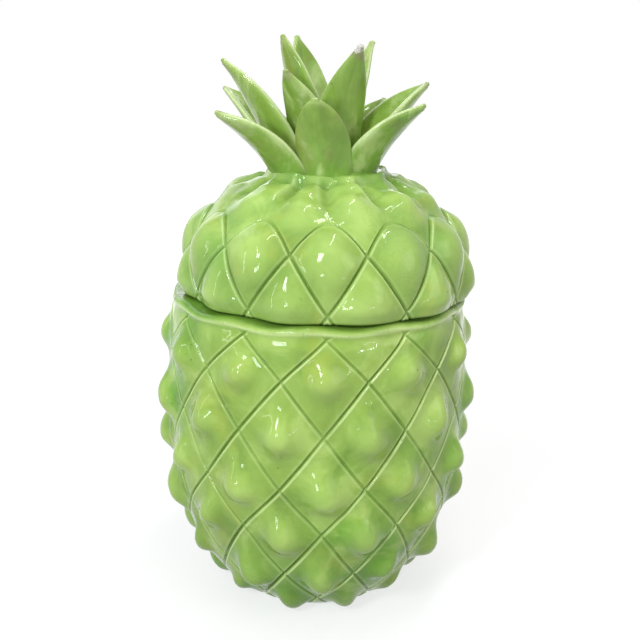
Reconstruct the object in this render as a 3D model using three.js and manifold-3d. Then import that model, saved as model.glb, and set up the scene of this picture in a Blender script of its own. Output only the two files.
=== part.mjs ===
// Pineapple canister: a glazed earthenware jar with a domed lid and a crown of leaves.
// Millimetres, +Z up, the side shown first faces -Y. The origin is the middle of the foot, on the table.
import * as THREE from 'three';
import { mergeVertices } from 'three/addons/utils/BufferGeometryUtils.js';
import Module from 'manifold-3d';

const wasm = await Module();
wasm.setup();

// Jar
const RIM_HEIGHT = 195;
const RIM_RADIUS = 88.5;
const RIM_ROUND = 4;
const BELLY_RADIUS = 93;
const BELLY_HEIGHT = 125;
const BASE_RADIUS = 51;
const BASE_FULLNESS = 2.5;
const JAR_WALL = 7;
const RIM_LAND = 11;
const RIM_LAND_DEPTH = 15;
const FLOOR_THICKNESS = 6.5;
const FLOOR_FILLET = 14;
const FOOT_LAND = 6;
const FOOT_RECESS = 2.5;
const FOOT_ROUND = 1.5;
const FOOT_FADE = 12;

// Lid, which sits a little to one side of the jar's middle
const REST_GAP = 0.3;
const LID_SHIFT = 4;
const LID_STEP = 2.2;
const LID_ROUND = 2;
const DOME_HEIGHT = 79;
const DOME_FULLNESS = 2.6;
const DOME_POINT = 0.64;
const SEAT_DROP = 7;
const SEAT_FADE = 7;
const LID_WALL = 7.5;
const FLANGE_PLAY = 1.6;
const FLANGE_WALL = 6;
const FLANGE_DEPTH = 12;
const FLANGE_CHAMFER = 1;
const FLANGE_SPLAY = 0.8;

// Pattern of diamonds: incised lines cross in rows, and each row lies half a cell round from the last.
// The rows share out the wall's length: from its first edge to the first row, from row to row, and on
// to the other end. A row's pillow is the swell of its diamonds and its nub the knob on each, both in
// height over the wall. Its nub drop is how far the knob's top lies below the middle, in cell heights.
// The lines that rise to the right and those that fall are cut to different strengths.
const CELLS_AROUND = 12;
const LINE_DEPTH = 1.3;
const LINE_HALF_WIDTH = 0.95;
const LINE_PITCH = 0.8;
const PILLOW_FULLNESS = 0.5;
const JAR_PATTERN = {
  steps: 8,
  turn: 2.8,
  rows: [7, 24, 31, 33, 29, 34.5, 30, 18],
  pillow: [0.6, 1.2, 1.2, 1.2, 1.2, 1.2, 1.4, 1],
  nub: [0, 5.4, 6.4, 6.8, 6.8, 6.6, 4.4, 1.2],
  nubDrop: [0, -0.02, 0.02, 0.02, 0.02, 0.02, 0, 0],
  nubSize: 1,
  lineStrength: [1, 0.62],
  isLid: false,
};
const LID_PATTERN = {
  steps: 8,
  turn: 0.7,
  rows: [5, 32, 21.5, 20.5, 19],
  pillow: [2.6, 4, 0.4, 0],
  nub: [3.4, 2.2, 0, 0],
  nubDrop: [0, 0.07, 0, 0],
  nubSize: 1.5,
  lineStrength: [0.75, 0.75],
  isLid: true,
};

// A nub is a drop: narrower at its top, broad below, with a short steep lower side. Sizes in cell widths.
const NUB_HALF_WIDTH = 0.185;
const NUB_NARROWING = 0.22;
const NUB_REACH_UP = 0.2;
const NUB_REACH_DOWN = 0.14;
const NUB_FULLNESS = 1.35;
const NUB_FOOT_RISE = 4;

// No two nubs are alike: shares by which their place, size, height and lean vary
const NUB_STRAY = 0.03;
const NUB_SIZE_SPREAD = 0.12;
const NUB_HEIGHT_SPREAD = 0.16;
const NUB_LEAN = 0.35;
const QUIRK_ROW = 12.9;
const QUIRK_COLUMN = 78.2;
const QUIRK_KIND = 37.7;
const SIDE = 0;
const PLACE = 1;
const SIZE = 2;
const HEIGHT = 3;
const LEAN = 4;

// The lid's lines close in round arches, over which soft bosses and valleys run up to the crown.
// Places and reaches are in lattice units, and the valleys' width, like every depth and height, is a size.
const ARCH_ROUND = 0.28;
const ARCH_TOP = 0.94;
const ARCH_BLEND = 0.2;
const ARCH_FOOT = [0.4, 0.6];
const PLEAT_START = 1.3;
const PLEAT_RUN = 0.2;
const PLEAT_DEPTH = 3.2;
const PLEAT_HALF_WIDTH = 3.6;
const PLEAT_STRAY = 0.08;
const PLEAT_LEAN = 0.3;
const PLEAT_SPREAD = 0.15;
const PLEAT_DEPTH_SPREAD = 0.5;
const PLEAT_ROW = 10;
const BOSS_HEIGHT = 3.2;
const BOSS_MIDDLE = 1.24;
const BOSS_REACH = 0.3;
const BOSS_HALF_WIDTH = 0.3;
const BOSS_LEAN = 0.4;
const BOSS_STRAY = 0.06;
const BOSS_SPREAD = 0.35;
const BOSS_FULLNESS = 1.2;
const BOSS_ROW = 11;

// The rim's lip and the lid's edge swell a little between the lines, where the diamonds themselves die out
const EDGE_WAVE = 0.7;
const EDGE_WAVE_REACH = 13;
const RIM_BAND = [-0.07, 0.03];
const LID_EDGE_RELIEF = 0.3;
const LID_EDGE_FADE = 9;

// Crown of leaves, rooted in rings on the lid's flat seat. Along a leaf: where it is widest, how its spine
// bows and lifts, and how it thins and flattens to a blunt tip, all as shares. Across it: rounded rims.
const LEAF_GAP = 0.3;
const LEAF_THICKNESS = 6;
const LEAF_STATIONS = 8;
const STATION_CROWDING = 1.25;
const RIM_STEPS = 1;
const RIM_FACE = 30;
const SIDE_STEPS = 1;
const WIDEST_AT = 0.25;
const LEAF_BOW = 0.34;
const LEAF_LIFT = 0.5;
const WAIST = 0.08;
const TIP_HALF_WIDTH = 1.9;
const TIP_BLUNTNESS = 2.4;
const TIP_THINNING = 0.35;
const TIP_FLATTENING = 0.3;
const TIP_PLUMPNESS = 0.75;
const RIM_THINNING = 0.2;
const ROOT_DEPTH = 9;
const EDGE = 3.5;
const OUTER = 7;
const MIDDLE = 10;
const INNER = 19.5;
const HEART = 22;

// A leaf's bearing round the crown (0 faces -Y, 90 faces +X), the inset of its root from the seat's edge,
// how far its tip stands outwards and sideways from the root and rises from the seat, its greatest width,
// how far its rims curl towards the middle, and how pointed its tip is
const LEAVES = [
  {
    name: 'front', bearing: -5, inset: EDGE, out: 17.5, sway: -4, rise: 41.5,
    width: 31, curl: 7, point: 0.7,
  },
  {
    name: 'front_left', bearing: -62, inset: EDGE, out: 41.6, sway: 0, rise: 33.1,
    width: 40, curl: 10, point: 0.9,
  },
  {
    name: 'front_right', bearing: 62, inset: MIDDLE, out: 37.4, sway: 0, rise: 38.9,
    width: 40, curl: 10, point: 0.9,
  },
  {
    name: 'left', bearing: -78, inset: OUTER, out: 36.7, sway: -3, rise: 60.7,
    width: 42, curl: 13, point: 0.9,
  },
  {
    name: 'right', bearing: 106, inset: MIDDLE, out: 38.7, sway: 0, rise: 49.2,
    width: 42, curl: 14, point: 0.9,
  },
  {
    name: 'back_left', bearing: -128, inset: OUTER, out: 59.8, sway: 0, rise: 43.1,
    width: 36, curl: 9, point: 0.9,
  },
  {
    name: 'back_right', bearing: 146, inset: OUTER, out: 38, sway: 0, rise: 38,
    width: 33, curl: 9, point: 0.9,
  },
  {
    name: 'back', bearing: -176, inset: OUTER, out: 34, sway: 0, rise: 43,
    width: 34, curl: 8, point: 0.8,
  },
  {
    name: 'inner_front', bearing: -35, inset: INNER, out: 26.9, sway: -2, rise: 55.8,
    width: 31, curl: 7, point: 0.9,
  },
  {
    name: 'inner_right', bearing: 10, inset: INNER, out: 32.3, sway: 8, rise: 69.2,
    width: 28, curl: 6, point: 0.9,
  },
  {
    name: 'tall_left', bearing: -55, inset: HEART, out: 21.1, sway: -2, rise: 74.2,
    width: 32, curl: 5, point: 0.9,
  },
  {
    name: 'tall_back', bearing: -145, inset: HEART, out: 24.9, sway: 0, rise: 74.7,
    width: 33, curl: 5, point: 0.9,
  },
  {
    name: 'tall_right', bearing: 150, inset: HEART, out: 27, sway: -8, rise: 72.5,
    width: 20, curl: 5, point: 1,
  },
];

const GLAZE = { color: 0x97c05a, roughness: 0.18, metalness: 0 };
const LEAF_GLAZE = { color: 0x86ad4e, roughness: 0.18, metalness: 0 };

const OUTLINE_STEPS = 400;
const FILLET_LEVELS = 4;
const WALL_LEVELS = 4;
const LAND_LEVELS = 2;
const CEILING_LEVELS = 8;
const TURNED_SIDES = 32;
const CUT_MARGIN = 5;
const EDGE_ROUND_RINGS = [0, 0.25, 0.6];
const LAST_RING_ROOM = 2;
const MERGE_DISTANCE = 1e-4;
const ROUNDING_ROOM = 0.25;

const MOUTH_RADIUS = RIM_RADIUS - RIM_LAND;
const LID_RADIUS = RIM_RADIUS - LID_STEP;
const SEAT_HEIGHT = DOME_HEIGHT - SEAT_DROP;
const { smoothstep, clamp, lerp, degToRad, euclideanModulo } = THREE.MathUtils;

// A wall's outline in the r, z plane, walked by its length
class Outline {
  constructor(points) {
    this.points = points;
    this.lengths = [0];
    for (let i = 1; i < points.length; i += 1) {
      this.lengths.push(this.lengths[i - 1] + points[i].distanceTo(points[i - 1]));
    }
    this.length = this.lengths.at(-1);
  }

  // Radius and height at length s, and the outward normal there
  at(s) {
    const inside = clamp(s, 0, this.length);
    let i = 1;
    while (i < this.points.length - 1 && this.lengths[i] < inside) i += 1;
    const share = (inside - this.lengths[i - 1]) / (this.lengths[i] - this.lengths[i - 1]);
    const here = this.points[i - 1].clone().lerp(this.points[i], share);
    const way = this.points[i].clone().sub(this.points[i - 1]).normalize();
    const normal = way.y < 0 ? new THREE.Vector2(-way.y, way.x) : new THREE.Vector2(way.y, -way.x);
    return { r: here.x, z: here.y, normal };
  }
}

// The jar's wall leans in a little from the belly to the rim and rounds in to the base
function jarRadius(z) {
  if (z >= BELLY_HEIGHT) {
    const up = (z - BELLY_HEIGHT) / (RIM_HEIGHT - BELLY_HEIGHT);
    return BELLY_RADIUS - (BELLY_RADIUS - RIM_RADIUS) * up ** 2;
  }
  const down = (BELLY_HEIGHT - z) / BELLY_HEIGHT;
  const drawnIn = 1 - (BASE_RADIUS / BELLY_RADIUS) ** 2;
  return BELLY_RADIUS * Math.sqrt(1 - drawnIn * down ** BASE_FULLNESS);
}

function jarOutline() {
  const points = [];
  for (let i = 0; i <= OUTLINE_STEPS; i += 1) {
    const z = RIM_HEIGHT * (1 - i / OUTLINE_STEPS);
    points.push(new THREE.Vector2(jarRadius(z), z));
  }
  return new Outline(points);
}

// The lid's dome, in the lid's own frame: z is measured from its bearing edge.
// The inside of the dome follows the outside at one wall's thickness.
function domeRadius(z, wall = 0) {
  const rise = Math.min(z / (DOME_HEIGHT - wall), 1);
  return (LID_RADIUS - wall) * (1 - rise ** DOME_FULLNESS) ** DOME_POINT;
}

function domeOutline() {
  const points = [];
  for (let i = 0; i <= OUTLINE_STEPS; i += 1) {
    const z = SEAT_HEIGHT * Math.sin((i / OUTLINE_STEPS) * (Math.PI / 2));
    points.push(new THREE.Vector2(domeRadius(z), z));
  }
  return new Outline(points);
}

// Lengths along the wall at which the rows of crossings lie
function rowPlaces(rows, length) {
  const whole = rows.reduce((sum, step) => sum + step, 0);
  const places = [];
  let sum = 0;
  for (const step of rows.slice(0, -1)) {
    sum += step;
    places.push((sum / whole) * length);
  }
  return places;
}

// Length along the wall at lattice row v, which grows by a half from one row of crossings to the next
function alongWall(places, v) {
  const last = places.length - 1;
  const k = clamp(Math.floor(2 * v), 0, last - 1);
  const t = 2 * v - k;
  const step = places[k + 1] - places[k];
  const slopeIn = k > 0 ? (places[k + 1] - places[k - 1]) / 2 : step;
  const slopeOut = k < last - 1 ? (places[k + 2] - places[k]) / 2 : step;
  if (t < 0) return places[k] + t * slopeIn;
  if (t > 1) return places[k + 1] + (t - 1) * slopeOut;
  const share = t * t * (3 - 2 * t);
  return places[k] + step * share + t * (1 - t) * ((1 - t) * slopeIn - t * slopeOut);
}

// What makes each diamond its own: a value from -1 to 1 that seems drawn by lot
function quirk(row, column, kind) {
  const place = QUIRK_ROW * row + QUIRK_COLUMN * euclideanModulo(column, CELLS_AROUND);
  return Math.sin(place + QUIRK_KIND * kind);
}

// How far the upper lines of the lid's big scales rise to close them in a round arch
function archRise(u, v) {
  const fromMiddle = Math.abs(u - Math.round(u));
  const straight = 1 - fromMiddle;
  const fall = Math.hypot(fromMiddle, ARCH_ROUND) - ARCH_ROUND;
  const wholeFall = Math.hypot(0.5, ARCH_ROUND) - ARCH_ROUND;
  const arch = ARCH_TOP - (fall * (ARCH_TOP - 0.5)) / wholeFall;
  return (arch - straight) * Math.exp(-(((v - straight) / ARCH_BLEND) ** 2)) * smoothstep(v, ...ARCH_FOOT);
}

// A drop-shaped nub as a share of its row's height, in the diamond's own coordinates
function nubHeight(pattern, row, column, sideways, along) {
  const lower = pattern.nubDrop[row] + NUB_STRAY * quirk(row, column, PLACE);
  const down = (pattern.isLid ? -along : along) - lower;
  const size = pattern.nubSize * (1 + NUB_SIZE_SPREAD * quirk(row, column, SIZE));
  const reach = (down > 0 ? NUB_REACH_DOWN : NUB_REACH_UP) * size;
  const narrow = 1 - NUB_NARROWING * clamp(-down / reach, 0, 1);
  const lean = NUB_STRAY * quirk(row, column, SIDE) + NUB_LEAN * quirk(row, column, LEAN) * down;
  const across = (sideways - lean) / (NUB_HALF_WIDTH * size * narrow);
  const height = 1 + NUB_HEIGHT_SPREAD * quirk(row, column, HEIGHT);
  return height * Math.exp(-((across ** 2 + (down / reach) ** 2) ** NUB_FULLNESS));
}

// The diamonds at lattice place u, v: the height of pillow and nub over the wall, and the strength
// of the line there. Lines follow each whole u + v and u - v, and on the lid's upper part the arches.
function diamonds(pattern, u, v, radius) {
  const rising = u + v;
  const falling = u - v;
  const a = rising - Math.floor(rising);
  const b = falling - Math.floor(falling);
  const sideways = (a + b - 1) / 2;
  const along = (a - b) / 2;
  const row = clamp(Math.round(2 * (v - along)), 0, pattern.pillow.length - 1);
  const column = Math.floor(u - sideways + ROUNDING_ROOM);
  const dome = Math.max(Math.sin(Math.PI * a) * Math.sin(Math.PI * b), 0);
  const nub = nubHeight(pattern, row, column, sideways, along) * Math.min(dome * NUB_FOOT_RISE, 1);
  const pitch = ((2 * Math.PI * radius) / CELLS_AROUND) * LINE_PITCH;
  const distances = [Math.min(a, 1 - a) * pitch, Math.min(b, 1 - b) * pitch];
  if (pattern.isLid && v > 0.5) distances.fill(Math.abs(v - 1 + Math.abs(u - Math.round(u))) * pitch);
  const cuts = distances.map((d, i) => pattern.lineStrength[i] * Math.exp(-((d / LINE_HALF_WIDTH) ** 4)));
  const height = pattern.pillow[row] * dome ** PILLOW_FULLNESS + pattern.nub[row] * nub;
  return { height, cut: Math.max(...cuts) };
}

// The lid's top: soft valleys on whole u and bosses between them, both dying out downwards
function pleats(u, v, radius) {
  const fold = Math.round(u);
  const knoll = Math.floor(u);
  const lean = PLEAT_LEAN * quirk(PLEAT_ROW, fold, LEAN) * (v - PLEAT_START);
  const stray = PLEAT_STRAY * quirk(PLEAT_ROW, fold, SIDE) + lean;
  const toValley = (Math.abs(u - fold - stray) * 2 * Math.PI * radius) / CELLS_AROUND;
  const start = PLEAT_START + PLEAT_SPREAD * quirk(PLEAT_ROW, fold, PLACE);
  const run = smoothstep(v, start - PLEAT_RUN, start + PLEAT_RUN);
  const depth = PLEAT_DEPTH * (1 + PLEAT_DEPTH_SPREAD * quirk(PLEAT_ROW, fold, SIZE));
  const valley = depth * run * Math.exp(-((toValley / PLEAT_HALF_WIDTH) ** 2));
  const rise = v - BOSS_MIDDLE - BOSS_STRAY * quirk(BOSS_ROW, knoll, PLACE);
  const toBoss = u - knoll - 0.5 - BOSS_LEAN * quirk(BOSS_ROW, knoll, LEAN) * rise;
  const away = (toBoss / BOSS_HALF_WIDTH) ** 2 + (rise / BOSS_REACH) ** 2;
  const boss = BOSS_HEIGHT * (1 + BOSS_SPREAD * quirk(BOSS_ROW, knoll, HEIGHT));
  return boss * Math.exp(-(away ** BOSS_FULLNESS)) - valley;
}

// The whole relief over the wall at lattice place u, v, which lies at length s from the first edge
function relief(pattern, u, v, s, radius) {
  const { height, cut } = diamonds(pattern, u, v, radius);
  const wave = EDGE_WAVE * Math.cos(2 * Math.PI * (u - 0.5)) * (1 - smoothstep(s, 0, EDGE_WAVE_REACH));
  if (!pattern.isLid) return (height - LINE_DEPTH * cut) * smoothstep(v, ...RIM_BAND) + wave;
  const swell = lerp(LID_EDGE_RELIEF, 1, smoothstep(s, 0, LID_EDGE_FADE));
  return height * swell - LINE_DEPTH * cut + pleats(u, v, radius) + wave;
}

// Rings of a patterned wall: a rounded edge where the outline starts, then even steps of the lattice.
// A level ring is moved in and out only, so that an edge stays in its plane.
function latticeRings(outline, pattern, places, edgeRound, endRound) {
  const rings = [];
  for (const part of EDGE_ROUND_RINGS) {
    const s = part * edgeRound;
    const inset = edgeRound - Math.sqrt(edgeRound ** 2 - (edgeRound - s) ** 2);
    const v = (s - places[0]) / (places[1] - places[0]) / 2;
    rings.push({ s, v, inset, level: true });
  }
  for (let k = -pattern.steps; rings.at(-1).s < outline.length; k += 1) {
    const v = k / pattern.steps;
    const s = alongWall(places, v);
    if (s > edgeRound) rings.push({ s, v, inset: 0, level: s < 2 * edgeRound });
  }
  while (rings.at(-1).s > outline.length - endRound - LAST_RING_ROOM) rings.pop();
  const v = rings.at(-1).v;
  rings.push({ s: outline.length - endRound, v, inset: 0, level: true });
  if (endRound > 0) rings.push({ s: outline.length, v, inset: endRound, level: true });
  return rings;
}

// A patterned wall as a closed solid, flat at both ends. Each cell of the mesh is split along
// the way of the nearer line of the lattice. A lid's rings rise to its arches. The pattern dies out over
// the last length of fade.
function patternedSolid(outline, pattern, edgeRound, endRound, fade) {
  const places = rowPlaces(pattern.rows, outline.length);
  const rings = latticeRings(outline, pattern, places, edgeRound, endRound);
  const around = CELLS_AROUND * pattern.steps;
  const position = [];
  for (const ring of rings) {
    for (let i = 0; i < around; i += 1) {
      const u = i / pattern.steps;
      const arched = pattern.isLid && !ring.level;
      const s = arched ? alongWall(places, ring.v + archRise(u, ring.v)) : ring.s;
      const { r, z, normal } = outline.at(s);
      const angle = degToRad((u / CELLS_AROUND) * 360 + pattern.turn);
      const fading = smoothstep(outline.length - s, endRound, fade);
      const height = relief(pattern, u, ring.v, s, r) * fading - ring.inset;
      const radius = r + normal.x * height;
      const level = ring.level ? z : z + normal.y * height;
      position.push(radius * Math.sin(angle), -radius * Math.cos(angle), level);
    }
  }
  const index = [];
  const offWhole = (value) => Math.abs(value - Math.round(value));
  for (let j = 0; j + 1 < rings.length; j += 1) {
    for (let i = 0; i < around; i += 1) {
      const u = i / pattern.steps;
      const [p, q] = [j * around + i, j * around + ((i + 1) % around)];
      const [s, t] = [p + around, q + around];
      if (offWhole(u - rings[j].v) < offWhole(u + rings[j + 1].v)) index.push(p, t, q, p, s, t);
      else index.push(p, s, q, q, s, t);
    }
  }
  for (const j of [0, rings.length - 1]) {
    const middle = position.length / 3;
    position.push(0, 0, outline.at(rings[j].s).z);
    for (let i = 0; i < around; i += 1) {
      const edge = [j * around + i, j * around + ((i + 1) % around)];
      if (j > 0) edge.reverse();
      index.push(middle, ...edge);
    }
  }
  const geometry = new THREE.BufferGeometry();
  geometry.setAttribute('position', new THREE.Float32BufferAttribute(position, 3));
  geometry.setIndex(index);
  return solidOf(geometry);
}

// A closed mesh as a solid that faces outwards, without the empty triangles at a lathe's poles
function solidOf(geometry) {
  geometry.deleteAttribute('normal');
  geometry.deleteAttribute('uv');
  const merged = mergeVertices(geometry, MERGE_DISTANCE);
  const at = merged.getAttribute('position');
  const corners = merged.getIndex().array;
  const [p, q, s] = [new THREE.Vector3(), new THREE.Vector3(), new THREE.Vector3()];
  const triangles = [];
  let volume = 0;
  for (let i = 0; i < corners.length; i += 3) {
    const [a, b, c] = corners.slice(i, i + 3);
    if (a === b || b === c || c === a) continue;
    triangles.push(a, b, c);
    p.fromBufferAttribute(at, a);
    q.fromBufferAttribute(at, b);
    s.fromBufferAttribute(at, c);
    volume += p.dot(q.cross(s));
  }
  if (volume < 0) triangles.reverse();
  const vertProperties = new Float32Array(at.array);
  const triVerts = new Uint32Array(triangles);
  return new wasm.Manifold(new wasm.Mesh({ numProp: 3, vertProperties, triVerts }));
}

function geometryOf(solid) {
  const mesh = solid.getMesh();
  const geometry = new THREE.BufferGeometry();
  geometry.setAttribute('position', new THREE.Float32BufferAttribute(mesh.vertProperties, mesh.numProp));
  geometry.setIndex(Array.from(mesh.triVerts));
  geometry.computeVertexNormals();
  return geometry;
}

// A solid of revolution from its profile of [r, z] points, which starts and ends on the axis
function turned(profile) {
  const points = profile.map(([r, z]) => new THREE.Vector2(r, z));
  const geometry = new THREE.LatheGeometry(points, TURNED_SIDES);
  geometry.rotateX(Math.PI / 2);
  return solidOf(geometry);
}

// The jar: patterned outside, smooth inside, with a narrowed mouth, a rounded floor and a foot ring
function makeJar() {
  const body = patternedSolid(jarOutline(), JAR_PATTERN, RIM_ROUND, FOOT_ROUND, FOOT_FADE);
  const floor = FOOT_RECESS + FLOOR_THICKNESS;
  const filletTop = floor + FLOOR_FILLET;
  const landFoot = RIM_HEIGHT - RIM_LAND_DEPTH;
  const levels = [];
  for (let k = 0; k < FILLET_LEVELS; k += 1) {
    levels.push(filletTop - FLOOR_FILLET * Math.cos(((k / FILLET_LEVELS) * Math.PI) / 2));
  }
  for (let k = 0; k < WALL_LEVELS; k += 1) levels.push(lerp(filletTop, landFoot, k / WALL_LEVELS));
  for (let k = 0; k <= LAND_LEVELS; k += 1) levels.push(lerp(landFoot, RIM_HEIGHT, k / LAND_LEVELS));
  const inside = [[0, floor]];
  for (const z of levels) {
    const toMouth = smoothstep(z, landFoot, RIM_HEIGHT);
    const toFloor = Math.max(filletTop - z, 0);
    const fillet = FLOOR_FILLET - Math.sqrt(FLOOR_FILLET ** 2 - toFloor ** 2);
    inside.push([lerp(jarRadius(z) - JAR_WALL, MOUTH_RADIUS, toMouth) - fillet, z]);
  }
  inside.push([MOUTH_RADIUS, RIM_HEIGHT + CUT_MARGIN], [0, RIM_HEIGHT + CUT_MARGIN]);
  const footInside = BASE_RADIUS - FOOT_ROUND - FOOT_LAND;
  const under = [
    [0, -CUT_MARGIN],
    [footInside, -CUT_MARGIN],
    [footInside, 0],
    [footInside - FOOT_RECESS, FOOT_RECESS],
    [0, FOOT_RECESS],
  ];
  return body.subtract(turned(inside)).subtract(turned(under));
}

// The lid: a patterned dome with a flat seat on top, hollow inside, and a flange that drops into the mouth
function makeLid() {
  const dome = patternedSolid(domeOutline(), LID_PATTERN, LID_ROUND, 0, SEAT_FADE);
  const outer = MOUTH_RADIUS - LID_SHIFT - FLANGE_PLAY;
  const inner = outer - FLANGE_WALL;
  const flange = turned([
    [0, -FLANGE_DEPTH],
    [outer - FLANGE_CHAMFER, -FLANGE_DEPTH],
    [outer, FLANGE_CHAMFER - FLANGE_DEPTH],
    [outer, LID_WALL],
    [0, LID_WALL],
  ]);
  const ceiling = SEAT_HEIGHT - LID_WALL;
  const hollow = [[0, -FLANGE_DEPTH - CUT_MARGIN], [inner, -FLANGE_DEPTH - CUT_MARGIN]];
  for (let k = 0; k <= CEILING_LEVELS; k += 1) {
    const z = ceiling * Math.sin(((k / CEILING_LEVELS) * Math.PI) / 2);
    hollow.push([Math.min(domeRadius(z, LID_WALL), inner + z * FLANGE_SPLAY), z]);
  }
  hollow.push([0, ceiling]);
  return dome.add(flange).subtract(turned(hollow));
}

const SEAT_RADIUS = domeRadius(SEAT_HEIGHT);

// Places round a leaf's section as shares of its half width and thickness: flat sides and round rims
function leafSection(rim) {
  const quarter = [];
  for (let k = 0; k <= RIM_STEPS; k += 1) {
    const turn = degToRad(lerp(RIM_FACE, 90, k / RIM_STEPS));
    quarter.push([1 - rim + rim * Math.cos(turn), Math.sin(turn)]);
  }
  for (let k = 1; k <= SIDE_STEPS; k += 1) quarter.push([(1 - rim) * (1 - k / SIDE_STEPS), 1]);
  const mirrored = quarter.slice(0, -1).reverse().map(([x, lift]) => [-x, lift]);
  const upper = [...quarter, ...mirrored];
  const lower = upper.map(([x, lift]) => [x, -lift]).reverse();
  return [...upper, ...lower];
}

// A leaf in the lid's frame: rounded sections, curled like a channel, along a spine that starts upright
// at its root on the seat and leans out to the tip. A grown leaf is the room that its neighbours leave it.
function leafSolid(leaf, grow = 0) {
  const root = SEAT_RADIUS - leaf.inset;
  const foot = SEAT_HEIGHT + LEAF_GAP;
  const spine = new THREE.QuadraticBezierCurve(
    new THREE.Vector2(root, foot - ROOT_DEPTH),
    new THREE.Vector2(root + leaf.out * LEAF_BOW, foot + leaf.rise * LEAF_LIFT),
    new THREE.Vector2(root + leaf.out, foot + leaf.rise),
  );
  const bearing = degToRad(leaf.bearing);
  const outward = new THREE.Vector3(Math.sin(bearing), -Math.cos(bearing), 0);
  const across = new THREE.Vector3(Math.cos(bearing), Math.sin(bearing), 0);
  const position = [];
  for (let i = 0; i <= LEAF_STATIONS; i += 1) {
    const t = 1 - (1 - i / LEAF_STATIONS) ** STATION_CROWDING;
    const at = spine.getPoint(t);
    const way = spine.getTangent(t);
    if (i === LEAF_STATIONS) at.addScaledVector(way, grow);
    const toTip = Math.max((t - WIDEST_AT) / (1 - WIDEST_AT), 0);
    const toRoot = Math.max(1 - t / WIDEST_AT, 0);
    const taper = (1 - toTip ** TIP_BLUNTNESS) ** leaf.point * (1 - WAIST * toRoot ** 2);
    const half = Math.hypot((leaf.width / 2) * taper, TIP_HALF_WIDTH);
    const curl = leaf.curl * (2 * half / leaf.width) * (1 - TIP_FLATTENING * t);
    const thick = Math.min((LEAF_THICKNESS * (1 - TIP_THINNING * t ** 2)) / 2, TIP_PLUMPNESS * half);
    for (const [x, lift] of leafSection(Math.min(thick / half, 1))) {
      const along = new THREE.Vector2(1, (-2 * curl * x) / half).normalize();
      const depth = lift * (thick * (1 - RIM_THINNING * x * x) + grow);
      const sideways = x * half + x * grow * along.x - depth * along.y + leaf.sway * t ** 2;
      const y = x * grow * along.y + depth * along.x - curl * x * x;
      const point = outward.clone().multiplyScalar(at.x + y * way.y);
      point.addScaledVector(across, sideways);
      position.push(point.x, point.y, at.y - y * way.x);
    }
  }
  const sides = position.length / 3 / (LEAF_STATIONS + 1);
  const index = [];
  for (let i = 0; i < LEAF_STATIONS; i += 1) {
    for (let k = 0; k < sides; k += 1) {
      const [p, q] = [i * sides + k, i * sides + ((k + 1) % sides)];
      index.push(p, q, p + sides, q, q + sides, p + sides);
    }
  }
  for (const i of [0, LEAF_STATIONS]) {
    const first = i * sides;
    for (let k = 1; k + 1 < sides; k += 1) {
      const edge = [first + k, first + k + 1];
      if (i === 0) edge.reverse();
      index.push(first, ...edge);
    }
  }
  const geometry = new THREE.BufferGeometry();
  geometry.setAttribute('position', new THREE.Float32BufferAttribute(position, 3));
  geometry.setIndex(index);
  return solidOf(geometry);
}

// The largest of a solid's separate bodies
function mainBody(solid) {
  return solid.decompose().reduce((best, body) => (body.volume() > best.volume() ? body : best));
}

// Leaves in their order from the front and the outside, each cut clear of those before it
function makeLeaves() {
  const rooms = LEAVES.map((leaf) => leafSolid(leaf, LEAF_GAP));
  const block = new THREE.BoxGeometry(2 * SEAT_HEIGHT, 2 * SEAT_HEIGHT, SEAT_HEIGHT);
  block.translate(0, 0, SEAT_HEIGHT / 2 + LEAF_GAP);
  const belowSeat = solidOf(block);
  return LEAVES.map((leaf, i) => {
    let solid = leafSolid(leaf);
    solid = solid.subtract(belowSeat);
    for (const room of rooms.slice(0, i)) solid = solid.subtract(room);
    return mainBody(solid);
  });
}

function addMesh(parent, name, solid, look) {
  const mesh = new THREE.Mesh(geometryOf(solid), new THREE.MeshStandardMaterial(look));
  mesh.name = name;
  parent.add(mesh);
}

const canister = new THREE.Group();
addMesh(canister, 'jar', makeJar(), GLAZE);

const cover = new THREE.Group();
cover.position.set(LID_SHIFT, 0, RIM_HEIGHT + REST_GAP);
addMesh(cover, 'lid', makeLid(), GLAZE);
const leafSolids = makeLeaves();
LEAVES.forEach((leaf, i) => addMesh(cover, `leaf_${leaf.name}`, leafSolids[i], LEAF_GLAZE));
canister.add(cover);

export default canister;
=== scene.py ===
import math

import bmesh
import bpy
from mathutils import Matrix, Vector, noise


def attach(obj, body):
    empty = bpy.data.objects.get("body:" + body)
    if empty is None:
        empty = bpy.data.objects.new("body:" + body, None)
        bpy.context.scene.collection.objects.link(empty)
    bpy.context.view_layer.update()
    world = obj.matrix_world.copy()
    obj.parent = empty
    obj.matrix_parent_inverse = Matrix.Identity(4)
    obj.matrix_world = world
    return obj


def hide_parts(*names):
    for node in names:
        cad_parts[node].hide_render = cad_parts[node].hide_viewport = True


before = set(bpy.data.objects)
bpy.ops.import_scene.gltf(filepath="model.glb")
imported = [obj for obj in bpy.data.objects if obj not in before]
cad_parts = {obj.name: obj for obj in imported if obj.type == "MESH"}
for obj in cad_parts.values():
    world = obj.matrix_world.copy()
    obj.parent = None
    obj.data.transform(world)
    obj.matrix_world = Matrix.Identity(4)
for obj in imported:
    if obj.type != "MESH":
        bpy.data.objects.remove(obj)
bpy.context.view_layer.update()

MM = 0.001

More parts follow.
